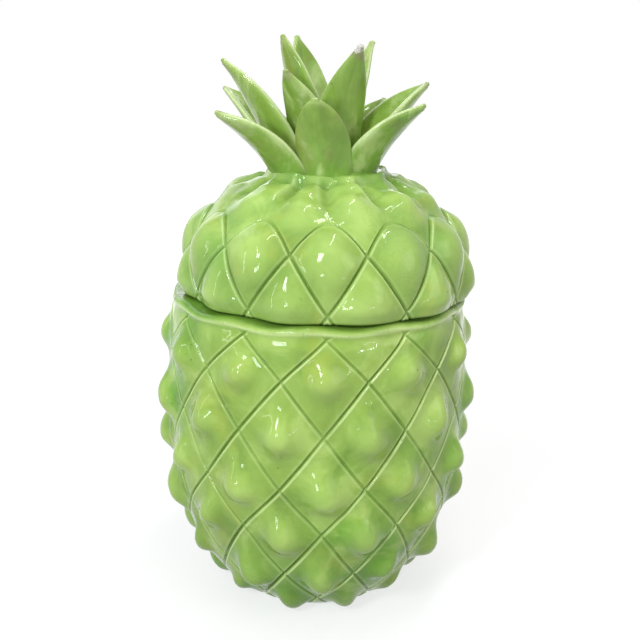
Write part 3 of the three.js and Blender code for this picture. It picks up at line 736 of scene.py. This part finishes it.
# Crown of leaves, rooted on the lid's flat seat at five insets
LEAF_GAP = 0.3 * MM
LEAF_THICKNESS = 6 * MM
LEAF_STATIONS = 44
RIM_STEPS = 6
SIDE_STEPS = 8
TIP_CAP_STEPS = 6
TIP_HALF_WIDTH = 1.9 * MM
WIDEST_AT = 0.25
TIP_BLUNTNESS = 2.4
LEAF_BOW = 0.34
LEAF_LIFT = 0.5
WAIST = 0.08
TIP_THINNING = 0.35
TIP_FLATTENING = 0.3
TIP_PLUMPNESS = 0.75
RIM_THINNING = 0.2
ROOT_DEPTH = 9 * MM
FOLD_DEPTH = 0.9 * MM
FOLD_HALF_WIDTH = 0.22
FOLD_END = 0.98
UPPER_FOLD = 0.4
STATION_CROWDING = 1.4
TIP_CAP_OPEN = 0.5
TIP_CAP_BULGE = 0.8
LEAF_SHAKE = Vector((0.6, 0.6, 0.3)) * MM
LEAF_SHAKE_SIZE = 18 * MM

# How a leaf's glaze pools at its foot, with painted shade there and on its under side, runs thin at its rim
# and tip, with a painted highlight along its rim, and wears off
LEAF_FOOT_POOL_AND_SHADE = 0.75
LEAF_FOOT_REACH = 0.07
LEAF_UNDER_SHADE = 0.35
LEAF_RIM_THIN_AND_HIGHLIGHT = 0.3
LEAF_RIM_THIN_AND_HIGHLIGHT_FROM = 0.85
LEAF_TIP_THIN = 0.5
LEAF_TIP_THIN_FROM = 0.9
LEAF_RIM_HIGHLIGHT = 0.85
LEAF_RIM_HIGHLIGHT_FROM = 0.96
TIP_WEAR = 0.3
TIP_WEAR_ALONG = (0.84, 0.98)

# Insets of the leaves' roots from the seat's edge, in millimetres
EDGE = 3.5
OUTER = 7
MIDDLE = 10
INNER = 19.5
HEART = 22

# Name, bearing round the crown in degrees, inset of the root, reach of the tip outwards and sideways, its
# rise over the seat, greatest width and curl, all in millimetres, how pointed the tip is, and how far it is
# chipped to the bare clay
LEAVES = [
    ("leaf_front", -5, EDGE, 17.5, -4, 41.5, 31, 7, 0.7, 0.1),
    ("leaf_front_left", -62, EDGE, 41.6, 0, 33.1, 40, 10, 0.9, 0.3),
    ("leaf_front_right", 62, MIDDLE, 37.4, 0, 38.9, 40, 10, 0.9, 0.3),
    ("leaf_left", -78, OUTER, 36.7, -3, 60.7, 42, 13, 0.9, 0.3),
    ("leaf_right", 106, MIDDLE, 38.7, 0, 49.2, 42, 14, 0.9, 0.4),
    ("leaf_back_left", -128, OUTER, 59.8, 0, 43.1, 36, 9, 0.9, 0.3),
    ("leaf_back_right", 146, OUTER, 38, 0, 38, 33, 9, 0.9, 0.2),
    ("leaf_back", -176, OUTER, 34, 0, 43, 34, 8, 0.8, 0.1),
    ("leaf_inner_front", -35, INNER, 26.9, -2, 55.8, 31, 7, 0.9, 0.45),
    ("leaf_inner_right", 10, INNER, 32.3, 8, 69.2, 28, 6, 0.9, 0.8),
    ("leaf_tall_left", -55, HEART, 21.1, -2, 74.2, 32, 5, 0.9, 0.3),
    ("leaf_tall_back", -145, HEART, 24.9, 0, 74.7, 33, 5, 0.9, 0.1),
    ("leaf_tall_right", 150, HEART, 27, -8, 72.5, 20, 5, 1.0, 0.3),
]


def leaf_spine(root, foot, out, rise, t):
    """Point and way at share t of a leaf's spine, which starts upright and leans out."""
    points = (Vector((root, foot - ROOT_DEPTH)), Vector((root + out * LEAF_BOW, foot + rise * LEAF_LIFT)),
              Vector((root + out, foot + rise)))
    at = points[0] * (1 - t) ** 2 + points[1] * 2 * t * (1 - t) + points[2] * t ** 2
    way = ((points[1] - points[0]) * (1 - t) + (points[2] - points[1]) * t).normalized()
    return at, way


def leaf_section(rim):
    """Places round a leaf's section, as shares of its half width and thickness: flat sides, round rims."""
    turns = [k / RIM_STEPS * math.pi / 2 for k in range(RIM_STEPS + 1)]
    quarter = [(1 - rim + rim * math.cos(turn), math.sin(turn)) for turn in turns]
    quarter += [((1 - rim) * (1 - k / SIDE_STEPS), 1.0) for k in range(1, SIDE_STEPS + 1)]
    upper = quarter + [(-x, lift) for x, lift in reversed(quarter[:-1])]
    return upper + [(x, -lift) for x, lift in reversed(upper[1:-1])]


def leaf_masks(t, x, lift, chip):
    """Masks at share t of a leaf's length and share x of its half width, above or under it."""
    # Painted shade at the leaf's foot and under it; pale rims from thin glaze and a painted highlight.
    under = LEAF_UNDER_SHADE if lift < 0 else 0.0
    pool_and_shade = LEAF_FOOT_POOL_AND_SHADE * math.exp(-t / LEAF_FOOT_REACH) + under * (1 - x * x)
    thin_and_highlight = LEAF_RIM_THIN_AND_HIGHLIGHT * smooth(abs(x), LEAF_RIM_THIN_AND_HIGHLIGHT_FROM, 1)
    thin_and_highlight += LEAF_TIP_THIN * smooth(t, LEAF_TIP_THIN_FROM, 1)
    lip_and_highlight = LEAF_RIM_HIGHLIGHT * smooth(abs(x), LEAF_RIM_HIGHLIGHT_FROM, 1)
    bare = (TIP_WEAR + (1 - TIP_WEAR) * chip) * smooth(t, *TIP_WEAR_ALONG)
    return pool_and_shade, thin_and_highlight, lip_and_highlight, bare


def make_leaf(name, bearing, inset, out, sway, rise, width, curl, point, chip):
    root = dome_radius(SEAT_HEIGHT) - inset * MM
    foot = SEAT_HEIGHT + LEAF_GAP
    out, sway, rise, width, curl = out * MM, sway * MM, rise * MM, width * MM, curl * MM
    heading = math.radians(bearing)
    outward = Vector((math.sin(heading), -math.cos(heading), 0))
    across = Vector((math.cos(heading), math.sin(heading), 0))
    bm = bmesh.new()
    layers = [bm.verts.layers.float.new(mask) for mask in MASKS]
    _, thin_and_highlight, _, bare = layers
    rows = []
    for i in range(LEAF_STATIONS + TIP_CAP_STEPS + 1):
        t = 1 - max(1 - i / LEAF_STATIONS, 0.0) ** STATION_CROWDING
        at, way = leaf_spine(root, foot, out, rise, t)
        to_tip = max((t - WIDEST_AT) / (1 - WIDEST_AT), 0.0)
        to_root = max(1 - t / WIDEST_AT, 0.0)
        taper = (1 - to_tip ** TIP_BLUNTNESS) ** point * (1 - WAIST * to_root ** 2)
        half = math.hypot(width / 2 * taper, TIP_HALF_WIDTH)
        thick = LEAF_THICKNESS * (1 - TIP_THINNING * t ** 2) / 2
        thick = min(thick, TIP_PLUMPNESS * half)
        close = 1.0
        if i >= LEAF_STATIONS:
            turn = (i - LEAF_STATIONS) / (TIP_CAP_STEPS + TIP_CAP_OPEN) * math.pi / 2
            close = math.cos(turn)
            at = at + way * thick * TIP_CAP_BULGE * math.sin(turn)
        bend = curl * (2 * half / width) * (1 - TIP_FLATTENING * t)
        row = []
        for x, lift in leaf_section(min(thick / half, 1)):
            run = Vector((1, -2 * bend * x / half)).normalized()
            fold = FOLD_DEPTH * swell(x, 0, FOLD_HALF_WIDTH) * math.sin(math.pi * min(t, FOLD_END))
            depth = lift * thick * (1 - RIM_THINNING * x * x) * close
            depth += fold if lift < 0 else -fold * UPPER_FOLD
            sideways = x * half * close - depth * run.y + sway * t ** 2
            y = depth * run.x - bend * x * x * close
            spot = outward * (at.x + y * way.y) + across * sideways + Vector((0, 0, at.y - y * way.x))
            spot += LEAF_SHAKE * noise.noise(spot / LEAF_SHAKE_SIZE + Vector((bearing, 0, 0)))
            vertex = bm.verts.new(spot)
            mark(layers, vertex, leaf_masks(t, x, lift, chip))
            row.append(vertex)
        rows.append(row)
    for lower, upper in zip(rows, rows[1:]):
        for k in range(len(lower)):
            j = (k + 1) % len(lower)
            bm.faces.new([lower[k], lower[j], upper[j], upper[k]])
    for row in (rows[0], rows[-1]):
        middle = sum((vertex.co for vertex in row), Vector()) / len(row)
        hub = bm.verts.new(middle)
        hub[thin_and_highlight], hub[bare] = row[0][thin_and_highlight], row[0][bare]
        for k in range(len(row)):
            bm.faces.new([row[k], row[(k + 1) % len(row)], hub])
    bmesh.ops.translate(bm, verts=bm.verts, vec=LID_BASE)
    leaf = mesh_object("glazed_" + name, bm)
    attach(leaf, "lid")
    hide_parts(name)
    return leaf


# Glaze

def srgb(red, green, blue):
    """A colour named as it looks on a screen, 0 to 255, as the linear colour that a shader takes."""
    def linear(value):
        share = value / 255
        return share / 12.92 if share <= 0.04045 else ((share + 0.055) / 1.055) ** 2.4
    return linear(red), linear(green), linear(blue), 1.0


def new_group(name, inputs, outputs):
    """An empty shader node group. Inputs come with their first values, and a tuple makes a colour."""
    group = bpy.data.node_groups.new(name, "ShaderNodeTree")
    for title, value in inputs.items():
        kind = "NodeSocketColor" if isinstance(value, tuple) else "NodeSocketFloat"
        socket = group.interface.new_socket(name=title, in_out="INPUT", socket_type=kind)
        socket.default_value = value
    for title, kind in outputs.items():
        group.interface.new_socket(name=title, in_out="OUTPUT", socket_type=kind)
    return group, group.nodes.new("NodeGroupInput").outputs, group.nodes.new("NodeGroupOutput").inputs


def new_material(name):
    material = bpy.data.materials.new(name)
    material.use_nodes = True
    return material, material.node_tree, material.node_tree.nodes["Principled BSDF"].inputs


def feed(tree, socket, value):
    """Links a socket to another node's output, or sets it to a plain value."""
    if isinstance(value, bpy.types.NodeSocket):
        tree.links.new(value, socket)
    else:
        socket.default_value = value


def add(tree, kind, **settings):
    """A node with its properties set and its inputs fed, both by name."""
    node = tree.nodes.new(kind)
    for title, value in settings.items():
        if title in node.bl_rna.properties:
            setattr(node, title, value)
        else:
            feed(tree, node.inputs[title], value)
    return node


def math_node(tree, operation, first, second, clamp=False):
    node = add(tree, "ShaderNodeMath", operation=operation, use_clamp=clamp)
    for socket, value in zip(node.inputs, (first, second)):
        feed(tree, socket, value)
    return node.outputs[0]


def scaled(tree, value, share, clamp=False):
    return math_node(tree, "MULTIPLY", value, share, clamp)


def rest_of(tree, value):
    return math_node(tree, "SUBTRACT", 1.0, value)


def mix_colours(tree, share, first, second):
    node = add(tree, "ShaderNodeMix", data_type="RGBA")
    for place, value in ((0, share), (6, first), (7, second)):
        feed(tree, node.inputs[place], value)
    return node.outputs[2]


def ramp(tree, value, low, high):
    """A soft rise from nought at low to one at high."""
    limits = {"From Min": low, "From Max": high}
    node = add(tree, "ShaderNodeMapRange", interpolation_type="SMOOTHSTEP", Value=value, **limits)
    return node.outputs["Result"]


def object_place(tree):
    return tree.nodes.new("ShaderNodeTexCoord").outputs["Object"]


def noise_node(tree, place, scale, detail, roughness=0.5, distortion=0.0):
    node = add(tree, "ShaderNodeTexNoise", Vector=place, Scale=scale, Detail=detail,
               Roughness=roughness, Distortion=distortion)
    return node.outputs["Fac"]


# Noises are given as scale, detail, roughness and distortion, and ramps by where they start and end
GLAZE_COLOURS = ("Body", "Deep", "Pale", "Cool", "Highlight", "Warm")
BLANK = (1.0, 1.0, 1.0, 1.0)
# Towards the foot, below this height in metres, the glaze turns cooler green and darker; the darkening is
# painted shade.
FOOT_GREEN = (0.0, 0.085)
FOOT_COOL = 0.9
FOOT_SHADE = 0.75
CLOUD_GRAIN = (4.0, 0.55, 0.6)
PATCH_NOISE = (9.0, 2.0)
PATCH_RAMP = (0.42, 0.62)
PATCH_SHARE = 0.8
SMUDGE_NOISE = (24.0, 3.0, 0.6, 0.8)
SMUDGE_RAMP = (0.52, 0.68)
SMUDGE_SHARE = 0.65
BRIGHT_RAMP = (0.48, 0.66)
BRIGHT_SHARE = 0.7
DULL_RAMP = (0.5, 0.68)
DULL_SHARE = 0.42
# Shares of pale for thin glaze and painted highlight, of deep for pooled glaze and painted shade, and of
# the highlight colour for the lips' painted highlight.
THIN_AND_HIGHLIGHT_SHARE = 0.55
POOL_AND_SHADE_SHARE = 0.5
LIP_HIGHLIGHT_SHARE = 0.9


def glaze_colour_and_light_group():
    """Poured glaze, cloudy: pale where it runs thin off a nub or a rim and where a highlight is painted,
    deep where it pools and where shade is painted, cooler and with painted shade towards the foot, and a
    painted highlight on lips.
    """
    inputs = dict.fromkeys(GLAZE_COLOURS, BLANK)
    inputs.update(dict.fromkeys(("Pool_and_shade", "Thin_and_highlight", "Lip_and_highlight", "Cloud Scale", "Upright Run"), 0.0))
    outputs = {"Colour": "NodeSocketColor", "Cloud": "NodeSocketFloat"}
    group, given, out = new_group("Glaze colour and painted light", inputs, outputs)
    place = object_place(group)
    x, y, z = add(group, "ShaderNodeSeparateXYZ", Vector=place).outputs
    run = add(group, "ShaderNodeCombineXYZ", X=x, Y=y, Z=scaled(group, z, given["Upright Run"]))
    cloud = noise_node(group, run.outputs[0], given["Cloud Scale"], *CLOUD_GRAIN)
    low = rest_of(group, ramp(group, z, *FOOT_GREEN))
    patch = scaled(group, ramp(group, noise_node(group, place, *PATCH_NOISE), *PATCH_RAMP), PATCH_SHARE)
    smudge = ramp(group, noise_node(group, place, *SMUDGE_NOISE), *SMUDGE_RAMP)
    # Painted shade: darker in hollows, under parts and towards the foot.
    pool_and_shade = math_node(group, "ADD", given["Pool_and_shade"], scaled(group, low, FOOT_SHADE))
    coats = (
        (math_node(group, "MAXIMUM", patch, scaled(group, low, FOOT_COOL)), "Cool"),
        (scaled(group, smudge, SMUDGE_SHARE), "Warm"),
        (scaled(group, ramp(group, cloud, *BRIGHT_RAMP), BRIGHT_SHARE), "Pale"),
        (scaled(group, ramp(group, rest_of(group, cloud), *DULL_RAMP), DULL_SHARE), "Deep"),
        (scaled(group, given["Thin_and_highlight"], THIN_AND_HIGHLIGHT_SHARE, clamp=True), "Pale"),
        (scaled(group, pool_and_shade, POOL_AND_SHADE_SHARE, clamp=True), "Deep"),
        (scaled(group, given["Lip_and_highlight"], LIP_HIGHLIGHT_SHARE, clamp=True), "Highlight"),
    )
    colour = given["Body"]
    for share, title in coats:
        colour = mix_colours(group, share, colour, given[title])
    feed(group, out["Colour"], colour)
    feed(group, out["Cloud"], cloud)
    return group


CRACK_SCALE = 260.0
CRACK_WIDTH = (0.0, 0.035)
CRACK_PATCH_NOISE = (22.0, 2.0)
CRACK_PATCH_RAMP = (0.5, 0.62)
CRAZING = 0.2
PINHOLE_SCALE = 160.0
PINHOLE_WIDTH = (0.04, 0.1)
PINHOLE_PATCH_NOISE = (90.0, 1.0)
PINHOLE_PATCH_RAMP = (0.64, 0.68)


def crazing_group():
    """Crazing and pinholes of an old glaze: fine dark cracks in some places, and small pits."""
    inputs = {"Crack Scale": CRACK_SCALE, "Pinhole Scale": PINHOLE_SCALE, "Amount": CRAZING}
    outputs = {"Cracks": "NodeSocketFloat", "Pinholes": "NodeSocketFloat"}
    group, given, out = new_group("Crazing and pinholes", inputs, outputs)
    place = object_place(group)
    cells = add(group, "ShaderNodeTexVoronoi", feature="DISTANCE_TO_EDGE", Vector=place,
                Scale=given["Crack Scale"])
    crack = rest_of(group, ramp(group, cells.outputs["Distance"], *CRACK_WIDTH))
    patches = ramp(group, noise_node(group, place, *CRACK_PATCH_NOISE), *CRACK_PATCH_RAMP)
    crack = scaled(group, crack, patches)
    feed(group, out["Cracks"], scaled(group, crack, given["Amount"]))
    spots = add(group, "ShaderNodeTexVoronoi", feature="F1", Vector=place, Scale=given["Pinhole Scale"])
    pit = rest_of(group, ramp(group, spots.outputs["Distance"], *PINHOLE_WIDTH))
    rare = ramp(group, noise_node(group, place, *PINHOLE_PATCH_NOISE), *PINHOLE_PATCH_RAMP)
    feed(group, out["Pinholes"], scaled(group, pit, rare))
    return group


CHIP_SCALE = 240.0
CHIP_GRAIN = (3.0, 0.6)
CHIP_GRAIN_SHARE = 0.9
BARE_RAMP = (1.28, 1.34)
STAIN_RAMP = (0.82, 1.2)
STAIN_SHARE = 0.8


def chip_group():
    """Chips at a tip: bare pale clay where the marked edge has lost its glaze, with a grey rim."""
    inputs = {"Mark": 0.0, "Grain": CHIP_SCALE}
    outputs = {"Bare": "NodeSocketFloat", "Stain": "NodeSocketFloat"}
    group, given, out = new_group("Chipped tip", inputs, outputs)
    grain = noise_node(group, object_place(group), given["Grain"], *CHIP_GRAIN)
    lost = math_node(group, "ADD", given["Mark"], scaled(group, grain, CHIP_GRAIN_SHARE))
    feed(group, out["Bare"], ramp(group, lost, *BARE_RAMP))
    feed(group, out["Stain"], scaled(group, ramp(group, lost, *STAIN_RAMP), STAIN_SHARE))
    return group


# A glaze's Highlight colour is a painted highlight on lips and rims; its Deep colour also serves as painted
# shade, its Pale as a painted highlight on heights.
GLAZES = {
    "jar_glaze": {
        "Body": srgb(151, 182, 80), "Deep": srgb(88, 126, 42), "Pale": srgb(184, 210, 112),
        "Cool": srgb(110, 168, 46), "Highlight": srgb(216, 234, 156), "Warm": srgb(162, 180, 72),
        "Cloud Scale": 34.0, "Upright Run": 1.0,
    },
    "lid_glaze": {
        "Body": srgb(150, 181, 82), "Deep": srgb(96, 128, 50), "Pale": srgb(182, 210, 112),
        "Cool": srgb(132, 174, 80), "Highlight": srgb(216, 236, 160), "Warm": srgb(170, 186, 80),
        "Cloud Scale": 30.0, "Upright Run": 1.0,
    },
    "leaf_glaze": {
        "Body": srgb(146, 176, 76), "Deep": srgb(96, 126, 48), "Pale": srgb(200, 216, 146),
        "Cool": srgb(134, 174, 76), "Highlight": srgb(214, 226, 170), "Warm": srgb(152, 158, 84),
        "Cloud Scale": 60.0, "Upright Run": 0.3,
    },
}
BARE_CLAY = srgb(214, 206, 194)
TIP_STAIN = srgb(148, 154, 100)
GLAZE_IOR = 1.5
GLAZE_SPECULAR = 0.24
GLAZE_SAG = 1.0 * MM
SAG_NOISE = (80.0, 1.5)
PIT_DEPTH = 0.3
CHIP_DEPTH = 0.3
CLEAR_ROUGHNESS = 0.04
CLOUD_ROUGHNESS = 0.06
CLAY_ROUGHNESS = 0.5


def attribute(tree, name):
    return add(tree, "ShaderNodeAttribute", attribute_name=name).outputs["Fac"]


def make_glaze(name, effects):
    """A glossy coloured glaze over cast clay, from one entry of GLAZES."""
    look = GLAZES[name]
    material, tree, shader = new_material(name)
    shader["IOR"].default_value = GLAZE_IOR
    shader["Specular IOR Level"].default_value = GLAZE_SPECULAR
    # The glaze group brings painted shade and painted highlights along with the glaze's own colour.
    depth, craze, tip = (add(tree, "ShaderNodeGroup", node_tree=effect) for effect in effects)
    for title, value in look.items():
        depth.inputs[title].default_value = value
    # Masks of pooled glaze with painted shade, thin glaze with a painted highlight, and the lips' painted
    # highlight.
    for mask in ("pool_and_shade", "thin_and_highlight", "lip_and_highlight"):
        feed(tree, depth.inputs[mask.capitalize()], attribute(tree, mask))
    feed(tree, tip.inputs["Mark"], attribute(tree, "bare"))
    pinholes, bare = craze.outputs["Pinholes"], tip.outputs["Bare"]
    colour = depth.outputs["Colour"]
    for share, stain in ((craze.outputs["Cracks"], look["Deep"]), (pinholes, look["Deep"]),
                         (tip.outputs["Stain"], TIP_STAIN), (bare, BARE_CLAY)):
        colour = mix_colours(tree, share, colour, stain)
    sag = noise_node(tree, object_place(tree), *SAG_NOISE)
    height = math_node(tree, "SUBTRACT", sag, scaled(tree, pinholes, PIT_DEPTH))
    height = math_node(tree, "SUBTRACT", height, scaled(tree, bare, CHIP_DEPTH))
    cloudy = scaled(tree, depth.outputs["Cloud"], CLOUD_ROUGHNESS)
    rough = math_node(tree, "ADD", CLEAR_ROUGHNESS, cloudy)
    rough = math_node(tree, "ADD", rough, scaled(tree, bare, CLAY_ROUGHNESS))
    bump = add(tree, "ShaderNodeBump", Strength=1.0, Distance=GLAZE_SAG, Height=height)
    feed(tree, shader["Base Color"], colour)
    feed(tree, shader["Roughness"], rough)
    feed(tree, shader["Normal"], bump.outputs["Normal"])
    return material


def dress(piece, material):
    piece.data.materials.clear()
    piece.data.materials.append(material)


# Table, lamps and camera
TABLE_SIZE = 6.0
TABLE_SHADE_REACH = (0.25, 0.6)
TABLE_ROUGHNESS = 0.9
TABLE_COLOUR = (0.3, 0.3, 0.3, 1)
TABLE_NEAR = (0.71, 0.71, 0.71, 1)
TABLE_GRAIN = (0.67, 0.67, 0.67, 1)
TABLE_GRAIN_NOISE = (3.0, 2.0)
TABLE_GRAIN_SHARE = 0.05
WHITE = (1, 1, 1, 1)
BLACK = (0, 0, 0, 1)


def seen_directly(tree):
    """One for rays from the camera and for mirrored and transmitted ones, nought for the rest."""
    rays = tree.nodes.new("ShaderNodeLightPath").outputs
    mirrored = math_node(tree, "MAXIMUM", rays["Is Glossy Ray"], rays["Is Transmission Ray"])
    return math_node(tree, "MAXIMUM", rays["Is Camera Ray"], mirrored)


def make_table():
    """A table top, plain white further off, that takes the canister's shadow close by."""
    mesh = bpy.data.meshes.new("table_top")
    half = TABLE_SIZE / 2
    corners = [(-half, -half, 0), (half, -half, 0), (half, half, 0), (-half, half, 0)]
    mesh.from_pydata(corners, [], [(0, 1, 2, 3)])
    table = bpy.data.objects.new("table_top", mesh)
    bpy.context.collection.objects.link(table)
    material, tree, shader = new_material("pale_table")
    place = object_place(tree)
    middle = add(tree, "ShaderNodeVectorMath", operation="LENGTH")
    feed(tree, middle.inputs[0], place)
    away = ramp(tree, middle.outputs["Value"], *TABLE_SHADE_REACH)
    grain = scaled(tree, noise_node(tree, place, *TABLE_GRAIN_NOISE), TABLE_GRAIN_SHARE)
    near = mix_colours(tree, grain, TABLE_NEAR, TABLE_GRAIN)
    seen = mix_colours(tree, seen_directly(tree), BLACK, mix_colours(tree, away, near, WHITE))
    feed(tree, shader["Emission Color"], seen)
    shader["Emission Strength"].default_value = 1.0
    shader["Base Color"].default_value = TABLE_COLOUR
    shader["Roughness"].default_value = TABLE_ROUGHNESS
    dress(table, material)


AIM = Vector((0, 0, 0.17))
ROOM_LIGHT = 0.25
PLAIN = (1, 1, 1)
DAYLIGHT = (0.84, 0.94, 1.0)
PANE = (0.16, 0.25)
LOW_PANE = (0.13, 0.2)
BULB = (0.02, 0.02)

# Name, place and size in metres, watts and tint. Each lamp points at AIM.
LAMPS = [
    ("window_pane_0_0", (-0.98, -1.34, 1.24), PANE, 4.7, DAYLIGHT),
    ("window_pane_0_1", (-0.98, -1.34, 1.52), PANE, 4.7, DAYLIGHT),
    ("low_window_0", (-0.75, -1.4, 0.32), LOW_PANE, 2.6, DAYLIGHT),
    ("window_pane_1_0", (-0.825, -1.43, 1.24), PANE, 4.7, DAYLIGHT),
    ("window_pane_1_1", (-0.825, -1.43, 1.52), PANE, 4.7, DAYLIGHT),
    ("low_window_1", (-0.56, -1.4, 0.42), LOW_PANE, 2.6, DAYLIGHT),
    ("door_left", (-1.7, -0.75, 0.55), (0.1, 1.3), 4, PLAIN),
    ("ceiling_tube", (0.2, -0.1, 1.9), (1.3, 0.08), 8, PLAIN),
    ("ceiling_panel", (0.1, -0.5, 2.2), (2.2, 2.2), 10, PLAIN),
    ("window_right", (1.7, -0.9, 0.9), (1.2, 1.4), 10.5, PLAIN),
    ("window_behind", (-0.5, 1.8, 1.2), (2.2, 1.6), 12, PLAIN),
    ("low_bulb_0", (0.75, -1.3, 0.12), BULB, 0.25, DAYLIGHT),
    ("low_bulb_1", (0.86, -1.23, 0.17), BULB, 0.25, DAYLIGHT),
    ("low_bulb_2", (0.97, -1.16, 0.12), BULB, 0.25, DAYLIGHT),
    ("low_bulb_3", (1.08, -1.09, 0.17), BULB, 0.25, DAYLIGHT),
]


def add_lamp(name, place, size, watts, tint):
    data = bpy.data.lights.new(name, "AREA")
    data.shape = "RECTANGLE"
    data.size, data.size_y = size
    data.energy = watts
    data.color = tint
    lamp = bpy.data.objects.new(name, data)
    lamp.location = place
    lamp.rotation_euler = (AIM - Vector(place)).to_track_quat("-Z", "Y").to_euler()
    bpy.context.collection.objects.link(lamp)


def light_room():
    """The lamps, and a white room that is bright to the camera and in mirrorings but lights little."""
    for lamp in LAMPS:
        add_lamp(*lamp)
    world = bpy.data.worlds.new("white_room")
    bpy.context.scene.world = world
    world.use_nodes = True
    tree = world.node_tree
    room = tree.nodes["Background"].inputs
    room["Color"].default_value = WHITE
    feed(tree, room["Strength"], math_node(tree, "MAXIMUM", seen_directly(tree), ROOM_LIGHT))


# Camera as fitted to the photograph: its tilts in degrees, its focal length in the photograph's pixels
CAMERA_PLACE = Vector((0, -519, 331.5)) * MM
CAMERA_DOWN = 17.07
CAMERA_YAW = 0.14
CAMERA_ROLL = 1.24
PHOTO_SIDE = 640
FOCAL_PIXELS = 859
SENSOR_WIDTH = 36
NEAREST_SEEN = 0.01


def add_camera():
    down, yaw, roll = (math.radians(a) for a in (CAMERA_DOWN, CAMERA_YAW, CAMERA_ROLL))
    ahead = Vector((math.sin(yaw) * math.cos(down), math.cos(yaw) * math.cos(down), -math.sin(down)))
    right = Vector((math.cos(yaw), -math.sin(yaw), 0))
    up = right.cross(ahead)
    across = right * math.cos(roll) + up * math.sin(roll)
    upright = up * math.cos(roll) - right * math.sin(roll)
    data = bpy.data.cameras.new("front_view")
    data.sensor_width = SENSOR_WIDTH
    data.lens = FOCAL_PIXELS / PHOTO_SIDE * SENSOR_WIDTH
    data.clip_start = NEAREST_SEEN
    camera = bpy.data.objects.new("front_view", data)
    turn = Matrix((across, upright, -ahead)).transposed().to_4x4()
    camera.matrix_world = Matrix.Translation(CAMERA_PLACE) @ turn
    bpy.context.collection.objects.link(camera)
    bpy.context.scene.camera = camera


add_camera()
glaze_effects = (glaze_colour_and_light_group(), crazing_group(), chip_group())
dress(make_jar(), make_glaze("jar_glaze", glaze_effects))
dress(make_lid(), make_glaze("lid_glaze", glaze_effects))
leaf_glaze = make_glaze("leaf_glaze", glaze_effects)
for leaf_row in LEAVES:
    dress(make_leaf(*leaf_row), leaf_glaze)
make_table()
light_room()
bpy.context.scene.view_settings.view_transform = "Standard"
